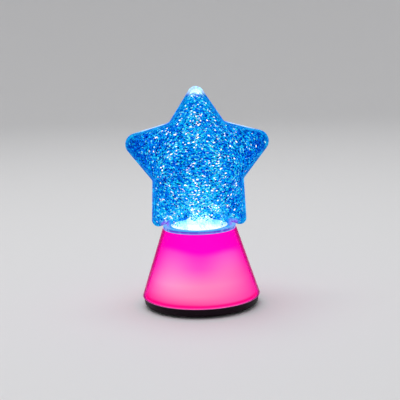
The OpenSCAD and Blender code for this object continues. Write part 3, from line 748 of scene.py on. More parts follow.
@dataclass(frozen=True)
class LitRing(Finish):
    """Clear collar ring that carries white light inside, blue from above and pink from below."""

    name: str = "clear collar ring"
    low: float = 57.0 * MM
    height: float = 2.7 * MM
    window: Span = (19.6 * MM, 20.6 * MM)
    forward: float = 3.0 * MM
    bright: Rgb = srgb(236, 252, 252)
    stops: Stops = (
        (0.0, srgb(170, 90, 230)),
        (0.12, srgb(120, 150, 245)),
        (0.34, srgb(112, 140, 238)),
        (0.46, srgb(112, 50, 205)),
        (0.66, srgb(100, 48, 205)),
        (0.8, srgb(45, 145, 232)),
        (1.0, srgb(90, 185, 248)),
    )
    strength: float = 0.9
    glimmer: Rgb = srgb(150, 172, 240)
    patches: Mottle = Mottle(330, 3, 0.46, 0.6)
    patch_share: float = 0.2
    side: Span = (8 * MM, 20 * MM)
    side_gain: float = 0.5
    smears: Span = (300, 2)

    def sockets(self, shade: Shade) -> Sockets:
        """Builds what feeds the main shader.

        Args:
            shade: The material under construction.

        Returns:
            Values or links of the shader's inputs.
        """
        _, across, along, up = shade.place()
        ahead = along + self.forward
        radius = (across * across + ahead * ahead) ** 0.5
        dimmed = [(place, scaled(colour, self.strength / STAR_VEIL.peak)) for place, colour in self.stops]
        plain_edge = shade.ramp((up - self.low) / self.height, dimmed)
        share = (self.patch_share + self.side_gain * abs(across).between(*self.side)) * self.patches.on(shade)
        edge = shade.mix(share, plain_edge, scaled(self.glimmer, 1 / STAR_VEIL.peak))
        return {
            "Base Color": (0.02, 0.01, 0.1),
            "Roughness": 0.1 + 0.1 * shade.noise(*self.smears),
            "IOR": 1.1,
            "Emission Color": shade.mix(radius.between(*self.window), STAR_VEIL.behind(self.bright), edge),
            "Emission Strength": STAR_VEIL.peak,
        }


@dataclass(frozen=True)
class MouldedPlastic(Finish):
    """Opaque moulded plastic with a fine spark-worn grain and paler, worn patches."""

    name: str
    colour: Rgb
    roughness: float = 0.45
    grain: float = 2200
    grain_depth: float = 0.02 * MM
    glow: float = 0.0
    shine: float = 0.5
    patches: Span = (70, 3)
    patch_edge: Span = (0.35, 0.75)
    patch_share: float = 0.6
    patch_rough: float = 0.14
    grain_detail: Span = (3, 0.6)
    grain_rough: float = 0.1
    grain_strength: float = 0.35
    wear_gain: float = 1.35
    wear_lift: float = 0.002

    def sockets(self, shade: Shade) -> Sockets:
        """Builds what feeds the main shader.

        Args:
            shade: The material under construction.

        Returns:
            Values or links of the shader's inputs.
        """
        grain = shade.noise(self.grain, *self.grain_detail)
        patch = shade.noise(*self.patches)
        worn = tuple(min(part * self.wear_gain + self.wear_lift, 1.0) for part in self.colour)
        rough = self.roughness + self.patch_rough * (patch - 0.5)
        return {
            "Base Color": shade.mix(patch.between(*self.patch_edge) * self.patch_share, self.colour, worn),
            "Roughness": rough + self.grain_rough * (grain - 0.5),
            "Specular IOR Level": self.shine,
            "Normal": shade.bump(grain, self.grain_strength, self.grain_depth),
            "Emission Color": self.colour,
            "Emission Strength": self.glow,
        }


@dataclass(frozen=True)
class Metal(Finish):
    """Plated or turned metal, with fine marks and dull patches."""

    name: str
    colour: Rgb
    roughness: float = 0.28
    marks: Span = (1500, 2)
    mark_depth: float = 0.01 * MM
    dull: Mottle = Mottle(160, 4, 0.45, 0.75)
    dull_share: float = 0.7
    dull_shadow: float = 0.72
    dull_rough: float = 0.18
    mark_rough: float = 0.08
    mark_strength: float = 0.2

    def sockets(self, shade: Shade) -> Sockets:
        """Builds what feeds the main shader.

        Args:
            shade: The material under construction.

        Returns:
            Values or links of the shader's inputs.
        """
        marks = shade.noise(*self.marks)
        dull = self.dull.on(shade)
        dark = scaled(self.colour, self.dull_shadow)
        return {
            "Base Color": shade.mix(dull * self.dull_share, self.colour, dark),
            "Metallic": 1.0,
            "Roughness": self.roughness + self.dull_rough * dull + self.mark_rough * (marks - 0.5),
            "Normal": shade.bump(marks, self.mark_strength, self.mark_depth),
        }


@dataclass(frozen=True)
class CircuitBoard(Finish):
    """Printed board: solder mask over copper tracks that show as paler lines."""

    name: str
    mask: Rgb
    track: Rgb
    pitch: Span = (700, 420)
    track_edge: Span = (0.15, 0.3)
    track_height: float = 0.03 * MM
    track_strength: float = 0.3
    smears: Span = (500, 2)

    def sockets(self, shade: Shade) -> Sockets:
        """Builds what feeds the main shader.

        Args:
            shade: The material under construction.

        Returns:
            Values or links of the shader's inputs.
        """
        _, across, along, _ = shade.place()
        waves = [(part * pitch).math("SINE") * 0.5 for part, pitch in zip((across, along), self.pitch)]
        tracks = (waves[0] + waves[1]).between(*self.track_edge)
        return {
            "Base Color": shade.mix(tracks, self.mask, self.track),
            "Roughness": 0.35 + 0.15 * shade.noise(*self.smears),
            "Normal": shade.bump(tracks, self.track_strength, self.track_height),
        }


@dataclass(frozen=True)
class CellSleeve(Finish):
    """Printed sleeve of a cell: two plain bands, with bare metal at the ends."""

    name: str = "cell sleeve"
    bare: Span = (21.4 * MM, 21.6 * MM)
    band_edge: Span = (8 * MM, 8.3 * MM)
    body: Rgb = srgb(38, 44, 52)
    band: Rgb = srgb(196, 142, 52)
    metal: Rgb = (0.62, 0.62, 0.6)
    smears: Span = (220, 4)

    def sockets(self, shade: Shade) -> Sockets:
        """Builds what feeds the main shader.

        Args:
            shade: The material under construction.

        Returns:
            Values or links of the shader's inputs.
        """
        _, across, _, _ = shade.place()
        ends = abs(across).between(*self.bare)
        sleeve = shade.mix(across.between(*self.band_edge), self.body, self.band)
        return {
            "Base Color": shade.mix(ends, sleeve, self.metal),
            "Metallic": ends,
            "Roughness": 0.3 + 0.2 * shade.noise(*self.smears),
        }


@dataclass(frozen=True)
class PaleSweep(Finish):
    """Plain pale floor and backdrop."""

    name: str = "pale studio sweep"
    colour: Rgb = (0.78, 0.78, 0.79)

    def sockets(self, shade: Shade) -> Sockets:
        """Gives the values of the main shader."""
        return {"Base Color": self.colour, "Roughness": 0.7, "Specular IOR Level": 0.2}


def mesh_piece(name: str, points: Points, faces: Faces) -> bpy.types.Object:
    """Makes a mesh object at the origin, smooth but for its creases.

    Args:
        name: The piece's name.
        points: Its corners, in metres.
        faces: Its faces, each a row of corner numbers seen from outside.

    Returns:
        The object, linked to the scene.
    """
    mesh = bpy.data.meshes.new(name)
    mesh.from_pydata(np.asarray(points).tolist(), [], faces)
    mesh.validate()
    piece = bpy.data.objects.new(name, mesh)
    bpy.context.scene.collection.objects.link(piece)
    soften(piece)
    return piece


def soften(piece: bpy.types.Object) -> None:
    """Shades a piece smooth and keeps its creases."""
    piece.data.polygons.foreach_set("use_smooth", [True] * len(piece.data.polygons))
    piece.data.set_sharp_from_angle(angle=CREASE)


def bake_modifiers(piece: bpy.types.Object) -> None:
    """Turns a piece's modifiers into plain mesh.

    Args:
        piece: The piece.
    """
    evaluated = piece.evaluated_get(bpy.context.evaluated_depsgraph_get())
    mesh = bpy.data.meshes.new_from_object(evaluated)
    piece.modifiers.clear()
    old, piece.data = piece.data, mesh
    bpy.data.meshes.remove(old)
    mesh.name = piece.name


def weld(piece: bpy.types.Object, distance: float) -> None:
    """Joins points that lie closer than a distance, and shades the result smooth.

    Args:
        piece: The piece.
        distance: The distance, in metres.
    """
    modifier = piece.modifiers.new("weld", "WELD")
    modifier.merge_threshold = distance
    bake_modifiers(piece)
    soften(piece)


def dress(piece: bpy.types.Object, finish: Finish) -> None:
    """Gives every slot of a piece one finish.

    Args:
        piece: A new piece, or a node of the frame.
        finish: Its finish.
    """
    if not piece.material_slots:
        piece.data.materials.append(finish.material())
    for slot in piece.material_slots:
        slot.material = finish.material()


def dress_node(nodes: Nodes, name: str, finish: Finish) -> None:
    """Gives a node of the frame its finish, and reports it."""
    dress(nodes[name], finish)
    log.info("%s: %s", name, finish.name)


def settle(piece: bpy.types.Object, slot: str, *nodes: str) -> None:
    """Puts a new piece on the housing, in place of nodes of the frame.

    Args:
        piece: The piece.
        slot: The record's material slot that it belongs to. It is not used.
        nodes: The nodes that it stands for.
    """
    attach(piece, HOUSING)
    if nodes:
        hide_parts(*nodes)
    log.info("%s: %d faces", piece.name, len(piece.data.polygons))


def grid_faces(rows: int, count: int) -> Faces:
    """Gives the faces between closed rows of points.

    Args:
        rows: How many rows there are.
        count: Points in each row.

    Returns:
        The faces, row by row.
    """
    pairs = [(i, (i + 1) % count) for i in range(count)]
    starts = [(row * count, (row + 1) * count) for row in range(rows - 1)]
    return [(here + i, here + k, there + k, there + i) for here, there in starts for i, k in pairs]


def lathe(name: str, profile: Sequence[Span]) -> bpy.types.Object:
    """Turns a closed outline about the lamp's axis.

    Args:
        name: The piece's name.
        profile: Its (radius, height) points, counter-clockwise with the axis on the left, in metres.

    Returns:
        The piece.
    """
    steps, count = LATHE_STEPS, len(profile)
    turns = np.linspace(0, FULL_TURN, steps, endpoint=False)
    radius, height = np.array(profile).T
    points = np.stack([
        np.cos(turns)[:, None] * radius,
        np.sin(turns)[:, None] * radius,
        np.broadcast_to(height, (steps, count)),
    ], axis=-1).reshape(-1, 3)
    starts = [(i * count, (i + 1) % steps * count) for i in range(steps)]
    pairs = [(j, (j + 1) % count) for j in range(count)]
    faces = [(here + j, there + j, there + k, here + k) for here, there in starts for j, k in pairs]
    return mesh_piece(name, points, faces)


def rounded_profile(corners: Sequence[tuple[float, float, float]]) -> list[Span]:
    """Rounds the corners of a closed outline.

    Args:
        corners: Its (radius, height, rounding) corners, in metres.

    Returns:
        The (radius, height) points.
    """
    out: list[Span] = []
    for i, (x, y, rounding) in enumerate(corners):
        here = np.array((x, y))
        to_last = np.array(corners[i - 1][:2]) - here
        to_next = np.array(corners[(i + 1) % len(corners)][:2]) - here
        out += [tuple(point) for point in corner_arc(here, to_last, to_next, rounding, CORNER_STEPS)]
    return out


def corner_arc(corner: Points, to_last: Points, to_next: Points, radius: float, steps: int) -> Points:
    """Gives the arc that rounds a corner.

    Args:
        corner: The sharp corner.
        to_last: From it towards the corner before.
        to_next: From it towards the corner after.
        radius: The arc's radius.
        steps: Chords in the arc.

    Returns:
        The arc's points.
    """
    last, following = to_last / np.linalg.norm(to_last), to_next / np.linalg.norm(to_next)
    half = math.acos(np.clip(last @ following, -1, 1)) / 2
    inward = (last + following) / np.linalg.norm(last + following)
    middle = corner + inward * radius / math.sin(half)
    start = corner + last * radius / math.tan(half) - middle
    end = corner + following * radius / math.tan(half) - middle
    first = math.atan2(start[1], start[0])
    turn = (math.atan2(end[1], end[0]) - first + 3 * math.pi) % FULL_TURN - math.pi
    angles = first + turn * np.linspace(0, 1, steps + 1)
    return middle + radius * np.stack([np.cos(angles), np.sin(angles)], axis=-1)


@dataclass
class StarForm:
    """The star's outline, its swelling faces and the neck below. Corners and rounds are in millimetres."""

    centre_z: float = 105.0 * MM
    half_depth: float = 23.0 * MM
    crown: float = 40.0 * MM
    fullness: float = 0.58
    rim_width: float = math.radians(38)
    top: Span = (0.0, 59.749)
    half_corners: tuple[Span, ...] = ((19.8, 29.5), (57.5, 19.0), (33.2, -12.2), (34.8, -48.2))
    foot: Span = (0.0, -36.5)
    top_round: float = 5.8
    half_rounds: tuple[float, ...] = (3.0, 8.2, 3.0, 4.8)
    foot_round: float = 3.0
    least_round: float = 0.5 * MM
    neck_low: float = 59.7 * MM
    neck_height: float = 25.0 * MM
    neck_radius: float = 24.0 * MM
    neck_top_radius: float = 14.0 * MM
    neck_rows: int = 12

    def corners(self, inset: float) -> tuple[Points, list[float]]:
        """Gives the outline's sharp corners, drawn in, and their roundings.

        Args:
            inset: How far the outline is drawn in, in metres.

        Returns:
            The corners in X and Z from the star's centre, and the roundings, in metres.
        """
        left = [(-x, z) for x, z in self.half_corners]
        sharp = np.array([self.top, *left, self.foot, *reversed(self.half_corners)]) * MM
        rounds = [self.top_round, *self.half_rounds, self.foot_round, *reversed(self.half_rounds)]
        edge = np.roll(sharp, -1, axis=0) - sharp
        normal = np.stack([-edge[:, 1], edge[:, 0]], axis=-1) / np.linalg.norm(edge, axis=1)[:, None]
        before = np.roll(normal, 1, axis=0)
        drawn = sharp + (before + normal) * inset / (1 + (before * normal).sum(1))[:, None]
        grown = [
            max(r * MM - inset, self.least_round) if i % 2 == 0 else r * MM + inset
            for i, r in enumerate(rounds)
        ]
        return drawn, grown

    def outline(self, inset: float, arc_steps: int, edge_steps: int) -> Points:
        """Gives the rounded outline as points.

        Args:
            inset: How far it is drawn in, in metres.
            arc_steps: Chords in each rounding.
            edge_steps: Chords in each straight edge.

        Returns:
            The points in X and Z from the star's centre, in metres.
        """
        sharp, rounds = self.corners(inset)
        to_last, to_next = np.roll(sharp, 1, axis=0) - sharp, np.roll(sharp, -1, axis=0) - sharp
        arcs = [corner_arc(*corner, arc_steps) for corner in zip(sharp, to_last, to_next, rounds)]
        shares = np.linspace(0, 1, edge_steps, endpoint=False)[1:, None]
        out = []
        for arc, following in zip(arcs, arcs[1:] + arcs[:1]):
            out += [arc, arc[-1] + shares * (following[0] - arc[-1])]
        return np.concatenate(out)

    def surface(
        self, inset: float, arc_steps: int, edge_steps: int, rings: int, rim_inset: float | None = None,
    ) -> tuple[Points, Faces]:
        """Gives the whole star's skin.

        Args:
            inset: How far it is drawn in, in metres.
            arc_steps: Chords in each rounding of the outline.
            edge_steps: Chords in each straight edge of the outline.
            rings: Rings from the rim to each crown.
            rim_inset: How far the rim is drawn in, where it differs from the faces.

        Returns:
            The points and the faces.
        """
        turns = np.linspace(-math.pi / 2, math.pi / 2, 2 * rings + 1)[1:-1]
        rim_gap = 0.0 if rim_inset is None else inset - rim_inset
        rows = []
        for turn in turns:
            share = min(abs(turn) / self.rim_width, 1.0)
            drawn = inset - rim_gap * (1 - share * share * (3 - 2 * share))
            outline = self.outline(drawn, arc_steps, edge_steps)
            reach = np.linalg.norm(outline, axis=1)
            wide = math.cos(turn)
            flat = outline * (wide * (wide + (1 - wide) * (self.crown - drawn) / reach))[:, None]
            swell = math.copysign(abs(math.sin(turn)) ** (2 * self.fullness), turn)
            away = np.full(len(flat), -(self.half_depth - drawn) * swell)
            rows.append(np.column_stack([flat[:, 0], away, flat[:, 1] + self.centre_z]))
        count, last = len(outline), (len(turns) - 1) * len(outline)
        depth = self.half_depth - inset
        poles = np.array([(0, depth, self.centre_z), (0, -depth, self.centre_z)])
        rear, front = len(turns) * count, len(turns) * count + 1
        faces = grid_faces(len(turns), count)
        for i in range(count):
            k = (i + 1) % count
            faces += [(i, rear, k), (last + i, last + k, front)]
        return np.concatenate([*rows, poles]), faces

    def neck(self, inset: float, low: float, steps: int) -> tuple[Points, Faces]:
        """Gives the neck's closed cone.

        Args:
            inset: How far it is drawn in, in metres.
            low: The height that it starts at.
            steps: Sides of the cone.

        Returns:
            The points and the faces, of which the first two are the ends.
        """
        turns = np.linspace(0, FULL_TURN, steps, endpoint=False)
        ring = np.column_stack([np.cos(turns), np.sin(turns)])
        rows = [
            np.column_stack([ring * (self.neck_at(z) - inset), np.full(steps, z)])
            for z in np.linspace(low, self.neck_low + self.neck_height, self.neck_rows)
        ]
        count = self.neck_rows * steps
        ends = [tuple(reversed(range(steps))), tuple(range(count - steps, count))]
        return np.concatenate(rows), ends + grid_faces(self.neck_rows, steps)

    def neck_at(self, height: float) -> float:
        """Gives the neck's radius at a height."""
        share = (height - self.neck_low) / self.neck_height
        return self.neck_radius + (self.neck_top_radius - self.neck_radius) * share


class Carve(Enum):
    """What a piece that is used up does to the one that stays."""

    CUT = "DIFFERENCE"
    JOIN = "UNION"


@dataclass
class StarBottle:
    """Clear star bottle: one wall thick, open at the neck."""

    form: StarForm
    wall: float = 2.0 * MM
    steps: tuple[int, int, int] = (14, 22, 40)
    neck_steps: int = 160
    collar_low: float = 57.0 * MM
    collar_clearance: float = 26.8 * MM
    bore: float = 0.1 * MM
    overlap: float = 1 * MM
    weld_gap: float = 0.008 * MM
    # painted light: a faint blue glow over the star's wall, and a white glow at its top tip
    clear: StarWall = StarWall(
        "clear star wall", (0.012, 0.27, 0.96), (0.0, 0.7, 1.0), 50.0,
        glow=(0.0, 0.0, 0.08), end_glow=(0.5, 0.52, 0.5), end=(153.0 * MM, 157.0 * MM),
    )

    def solid(self, name: str, inset: float, low: float, finish: Finish) -> bpy.types.Object:
        """Builds the star joined with its neck.

        Args:
            name: The solid's name.
            inset: How far it is drawn in.
            low: Where the neck starts.
            finish: The finish of its faces.

        Returns:
            The solid.
        """
        star = mesh_piece(name, *self.form.surface(inset, *self.steps))
        neck = mesh_piece(name + "_neck", *self.form.neck(inset, low, self.neck_steps))
        for part in (star, neck):
            dress(part, finish)
        self.carve(star, neck, Carve.JOIN)
        return star

    @staticmethod
    def carve(piece: bpy.types.Object, tool: bpy.types.Object, how: Carve) -> None:
        """Cuts or joins a piece with another, which is used up.

        Args:
            piece: The piece that stays.
            tool: The piece that is used up.
            how: What the second does to the first.
        """
        cutter = piece.modifiers.new("carve", "BOOLEAN")
        cutter.operation = how.value
        cutter.solver = "EXACT"
        cutter.material_mode = "TRANSFER"
        cutter.object = tool
        bake_modifiers(piece)
        bpy.data.objects.remove(tool)

    def build(self) -> None:
        """Builds and dresses the bottle."""
        bottle = self.solid("star_bottle", 0.0, self.form.neck_low, self.clear)
        inner = InnerWall(level=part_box("glitter_liquid")[1].z)
        hollow = self.solid("star_hollow", self.wall, self.form.neck_low - self.overlap, inner)
        self.carve(bottle, hollow, Carve.CUT)
        low, high, radius = self.collar_low - self.overlap, self.form.neck_low, self.collar_clearance
        room = lathe("collar_room", [(self.bore, low), (radius, low), (radius, high), (self.bore, high)])
        dress(room, self.clear)
        self.carve(bottle, room, Carve.CUT)
        weld(bottle, self.weld_gap)
        settle(bottle, "clear_bottle", "bottle_front", "bottle_rear")


class GeometryTree:
    """A geometry node tree under construction."""

    def __init__(self, tree: bpy.types.NodeTree) -> None:
        """Keeps the tree.

        Args:
            tree: The empty tree.
        """
        self.tree = tree

    def add(self, kind: str, links: dict[str | int, object], **settings: object) -> bpy.types.NodeOutputs:
        """Adds a node with its settings, then its values and links.

        Args:
            kind: The node's type.
            links: Values or sockets for its inputs, by name or by number.
            settings: Its properties.

        Returns:
            The node's outputs.
        """
        node = self.tree.nodes.new(kind)
        for key, value in settings.items():
            setattr(node, key, value)
        for key, value in links.items():
            for one in value if isinstance(value, list) else [value]:
                if isinstance(one, bpy.types.NodeSocket):
                    self.tree.links.new(one, node.inputs[key])
                else:
                    node.inputs[key].default_value = one
        return node.outputs

    def times(self, first: object, second: object) -> bpy.types.NodeSocket:
        """Multiplies two numbers."""
        return self.add("ShaderNodeMath", {0: first, 1: second}, operation="MULTIPLY")[0]

    def vector(self, *parts: object) -> bpy.types.NodeSocket:
        """Joins three numbers."""
        return self.add("ShaderNodeCombineXYZ", dict(enumerate(parts)))[0]

    def finished(self, placed: bpy.types.NodeSocket, finish: bpy.types.NodeSocket) -> bpy.types.NodeSocket:
        """Turns instances into plain mesh with a material."""
        real = self.add("GeometryNodeRealizeInstances", {0: placed})
        return self.add("GeometryNodeSetMaterial", {"Geometry": real[0], "Material": finish})[0]


@dataclass
class NodeRecipe:
    """A geometry node tree that is built once, with named inputs."""

    name: str
    kinds: dict[str, str]
    inputs: dict[str, str] = field(default_factory=dict)

    def grow(self, tree: GeometryTree, given: bpy.types.NodeOutputs) -> bpy.types.NodeSocket:
        """Adds the nodes.

        Args:
            tree: The empty tree.
            given: The tree's inputs.

        Returns:
            The socket that gives the finished geometry.
        """
        raise NotImplementedError

    def tree(self) -> bpy.types.NodeTree:
        """Gives the tree, built on first use.

        Returns:
            The tree.
        """
        found = bpy.data.node_groups.get(self.name)
        if found:
            return found
        tree = bpy.data.node_groups.new(self.name, "GeometryNodeTree")
        for label, kind in self.kinds.items():
            socket = tree.interface.new_socket(label, in_out="INPUT", socket_type=f"NodeSocket{kind}")
            self.inputs[label] = socket.identifier
        tree.interface.new_socket("Result", in_out="OUTPUT", socket_type="NodeSocketGeometry")
        made = self.grow(GeometryTree(tree), tree.nodes.new("NodeGroupInput").outputs)
        tree.links.new(made, tree.nodes.new("NodeGroupOutput").inputs[0])
        return tree

    def apply(self, piece: bpy.types.Object, values: dict[str, object]) -> None:
        """Turns a piece into what the tree makes of it.

        Args:
            piece: The piece that the tree starts from.
            values: The tree's inputs by name.
        """
        tree = self.tree()
        modifier = piece.modifiers.new(self.name, "NODES")
        modifier.node_group = tree
        for label, value in values.items():
            modifier[self.inputs[label]] = value
        bake_modifiers(piece)


@dataclass
class FlakeScatter(NodeRecipe):
    """Thin six-sided flakes, scattered over a surface."""

    name: str = "flake scatter"
    kinds: dict[str, str] = field(default_factory=lambda: {
        "Surface": "Geometry", "Density": "Float", "Smallest": "Float", "Largest": "Float",
        "Stretch": "Float", "Tilt": "Float", "Scatter": "Float", "Seed": "Int", "Foil": "Material",
    })
    sides: int = 6
    thickness: float = 0.1
    stray: float = 0.55

    def grow(self, tree: GeometryTree, given: bpy.types.NodeOutputs) -> bpy.types.NodeSocket:
        """Adds the nodes.

        Args:
            tree: The empty tree.
            given: The tree's inputs.

        Returns:
            The socket that gives the finished geometry.
        """
        add, seed = tree.add, given["Seed"]

        def named(label: str, kind: str = "FLOAT") -> bpy.types.NodeSocket:
            """Reads an attribute of the surface."""
            return add("GeometryNodeInputNamedAttribute", {"Name": label}, data_type=kind)[0]

        def random(low: object, high: object) -> bpy.types.NodeSocket:
            """Gives each flake a vector between two."""
            ends = {0: low, 1: high, "Seed": seed}
            return add("FunctionNodeRandomValue", ends, data_type="FLOAT_VECTOR")[0]

        points = add("GeometryNodeDistributePointsOnFaces", {
            "Mesh": given["Surface"], "Density": tree.times(given["Density"], named("share")), "Seed": seed,
        }, distribute_method="RANDOM")
        loose = named("loose")
        far = tree.times(given["Scatter"], loose)
        shift = random(tree.times(far, -1.0), far)
        spread = add("GeometryNodeSetPosition", {"Geometry": points["Points"], "Offset": shift})
        flake = add("GeometryNodeMeshCone", {
            "Vertices": self.sides, "Radius Top": 0.0, "Radius Bottom": 1.0, "Depth": self.thickness,
        }, fill_type="NGON")
        ends = {2: given["Smallest"], 3: given["Largest"], "Seed": seed}
        size = add("FunctionNodeRandomValue", ends, data_type="FLOAT")[1]
        narrow = add("ShaderNodeMath", {0: size, 1: given["Stretch"]}, operation="DIVIDE")[0]
        scale = tree.vector(tree.times(size, given["Stretch"]), narrow, size)
        laid = add("FunctionNodeAlignRotationToVector", {
            "Rotation": points["Rotation"], "Factor": 1.0, "Vector": named("grain", "FLOAT_VECTOR"),
        }, axis="X", pivot_axis="Z")[0]
        tilt = tree.times(given["Tilt"], loose)
        back = tree.times(tilt, -1.0)
        tipped = random(tree.vector(back, back, -self.stray), tree.vector(tilt, tilt, self.stray))
        turn = add("FunctionNodeEulerToRotation", {0: tipped})[0]
        turned = add("FunctionNodeRotateRotation", {0: laid, 1: turn}, rotation_space="LOCAL")[0]
        placed = add("GeometryNodeInstanceOnPoints", {
            "Points": spread[0], "Instance": flake["Mesh"], "Rotation": turned, "Scale": scale,
        })
        return tree.finished(placed[0], given["Foil"])


@dataclass
class CrossScrews(NodeRecipe):
    """Screws with a tapered head and a cross recess, one on each point, head down."""

    name: str = "cross screws"
    kinds: dict[str, str] = field(default_factory=lambda: {
        "Places": "Geometry", "Head Radius": "Float", "Head Height": "Float", "Shank Radius": "Float",
        "Length": "Float", "Metal": "Material",
    })
    sides: int = 40
    taper: float = 0.84
    cross_length: float = 1.25
    cross_width: float = 0.27
    cross_depth: float = 0.55

    def grow(self, tree: GeometryTree, given: bpy.types.NodeOutputs) -> bpy.types.NodeSocket:
        """Adds the nodes.

        Args:
            tree: The empty tree.
            given: The tree's inputs.

        Returns:
            The socket that gives the finished geometry.
        """
        add, times = tree.add, tree.times
        radius, height, thin = given["Head Radius"], given["Head Height"], given["Shank Radius"]

        def turned(low: object, high: object, length: object) -> bpy.types.NodeSocket:
            """Makes a cone from its two radii and its length."""
            sizes = {"Vertices": self.sides, "Radius Top": high, "Radius Bottom": low, "Depth": length}
            return add("GeometryNodeMeshCone", sizes, fill_type="NGON")["Mesh"]

        head = turned(times(radius, self.taper), radius, height)
        half = tree.vector(0.0, 0.0, times(height, 0.5))
        shank = turned(thin, thin, given["Length"])
        raised = add("GeometryNodeTransform", {"Geometry": shank, "Translation": half})[0]
        long, wide = times(radius, self.cross_length), times(radius, self.cross_width)
        deep = times(height, 2 * self.cross_depth)
        sizes = [tree.vector(long, wide, deep), tree.vector(wide, long, deep)]
        bars = [add("GeometryNodeMeshCube", {"Size": size})["Mesh"] for size in sizes]
        whole = add("GeometryNodeMeshBoolean", {"Mesh 2": [head, raised]}, operation="UNION", solver="EXACT")
        parts = {"Mesh 1": whole["Mesh"], "Mesh 2": bars}
        cut = add("GeometryNodeMeshBoolean", parts, operation="DIFFERENCE", solver="EXACT")
        placed = add("GeometryNodeInstanceOnPoints", {"Points": given["Places"], "Instance": cut["Mesh"]})
        return tree.finished(placed[0], given["Metal"])


def part_way(distance: Points, width: float) -> Points:
    """Gives a distance as a share of a width, from 0 to 1."""
    return np.clip(distance / width, 0, 1)


def bell(distance: Points, width: float) -> Points:
    """Gives a share that is 1 at no distance and fades over a width."""
    return np.exp(-((distance / width) ** 2))


@dataclass(frozen=True)
class FlakeTones:
    """How the flakes look lit over the star, as painted light and shade, and where they are thin or missing.
    """

    middle: float = 0.5
    spread: float = 0.47
    reach: float = 52 * MM
    arm_loss: float = 0.66
    arm_curve: float = 1.5
    arm_calm: float = 1.4
    calm: float = 0.12
    calm_curve: int = 3
    glow_height: float = 60 * MM
    glow_reach: float = 22 * MM
    glow_gain: float = 0.09
    glow_calm: float = 0.7
    glow_spread: float = 0.22
    low: Span = (92 * MM, 20 * MM)
    low_gain: float = 0.14
    top: Span = (118 * MM, 30 * MM)
    top_loss: float = 0.05
    top_spread: float = 0.1
    depth_loss: float = 0.03
    side_loss: float = 0.05
    rim: float = 4.5 * MM
    rim_middle: float = 0.36
    rim_pull: float = 0.5
    clump: float = 0.17
    clump_size: Span = (7 * MM, 24 * MM)
    clump_waves: int = 12
    clump_seed: int = 5
    window: Span = (24 * MM, 4 * MM)
    above_window: Span = (65 * MM, 5 * MM)
    beside_window: Span = (14.5 * MM, 4 * MM)
    cling: Span = (1.8 * MM, 4 * MM)
    sunk: float = 0.3 * MM
    ripple: float = 0.8 * MM
    stirred: Span = (12 * MM, 71 * MM)

    def clumps(self, points: Points) -> Points:
        """Gives a soft, seeded unevenness at each point.

        Args:
            points: The points.

        Returns:
            Values about 0 with a spread of about 1.
        """
        chance = np.random.default_rng(self.clump_seed)
        total = np.zeros(len(points))
        for _ in range(self.clump_waves):
            way = chance.normal(size=3)
            wave = FULL_TURN / chance.uniform(*self.clump_size)
            total += np.sin(points @ (way / np.linalg.norm(way)) * wave + chance.uniform(0, FULL_TURN))
        return total / math.sqrt(self.clump_waves / 2)

    def share(self, points: Points, tone: Tone, depth: int, level: float) -> Points:
        """Gives the share of one tone at each point.

        Args:
            points: The points.
            tone: The tone.
            depth: How many skins lie over this one.
            level: The liquid's level.

        Returns:
            The shares.
        """
        across, along, up = points.T
        aside = np.abs(across) / self.reach
        glow = np.exp(-((across / self.glow_reach) ** 2 + ((up - self.glow_height) / self.glow_reach) ** 2))
        top = part_way(up - self.top[0], self.top[1])
        low = part_way(self.low[0] - up, self.low[1])
        rim = bell(along, self.rim)
        clumps = self.clumps(points)
        # painted light and shade: flakes darker towards the arms, at the top, on deeper skins and to one
        # side, brighter low down and near the lit window
        mean = self.middle - self.arm_loss * aside ** self.arm_curve + self.glow_gain * glow
        mean = mean + self.low_gain * low - self.top_loss * top - self.depth_loss * depth
        mean = mean + self.clump * clumps * (1 - self.glow_calm * glow) - self.side_loss * across / self.reach
        mean = mean + (self.rim_middle - mean) * self.rim_pull * rim
        spread = self.spread + self.top_spread * top - self.glow_spread * glow
        spread = spread - self.calm * np.maximum(self.arm_calm * aside ** self.calm_curve, rim)
        weights = {
            other: other.common * np.exp(-((place - mean) / spread) ** 2 / 2)
            for other, place in zip(Tone, np.linspace(0, 1, len(Tone)))
        }
        present = self.thinning(points) * weights[tone] / sum(weights.values())
        cling = self.cling[0] * bell(across, self.cling[1])
        wet = up < level - self.sunk + self.ripple * clumps + cling
        stirred = (np.hypot(across, along) < self.stirred[0]) & (up < self.stirred[1])
        return np.where(wet & ~stirred, present, 0.0)

    def thinning(self, points: Points) -> Points:
        """Gives the share of flakes that is left over the bright window.

        Args:
            points: The points.

        Returns:
            The shares.
        """
        across, along, up = points.T
        over_window = (np.hypot(across, along) < self.window[0]) & (along < self.window[1])
        above = part_way(up - self.above_window[0], self.above_window[1])
        beside = part_way(np.abs(across) - self.beside_window[0], self.beside_window[1])
        return np.where(over_window, np.maximum(above, beside), 1.0)


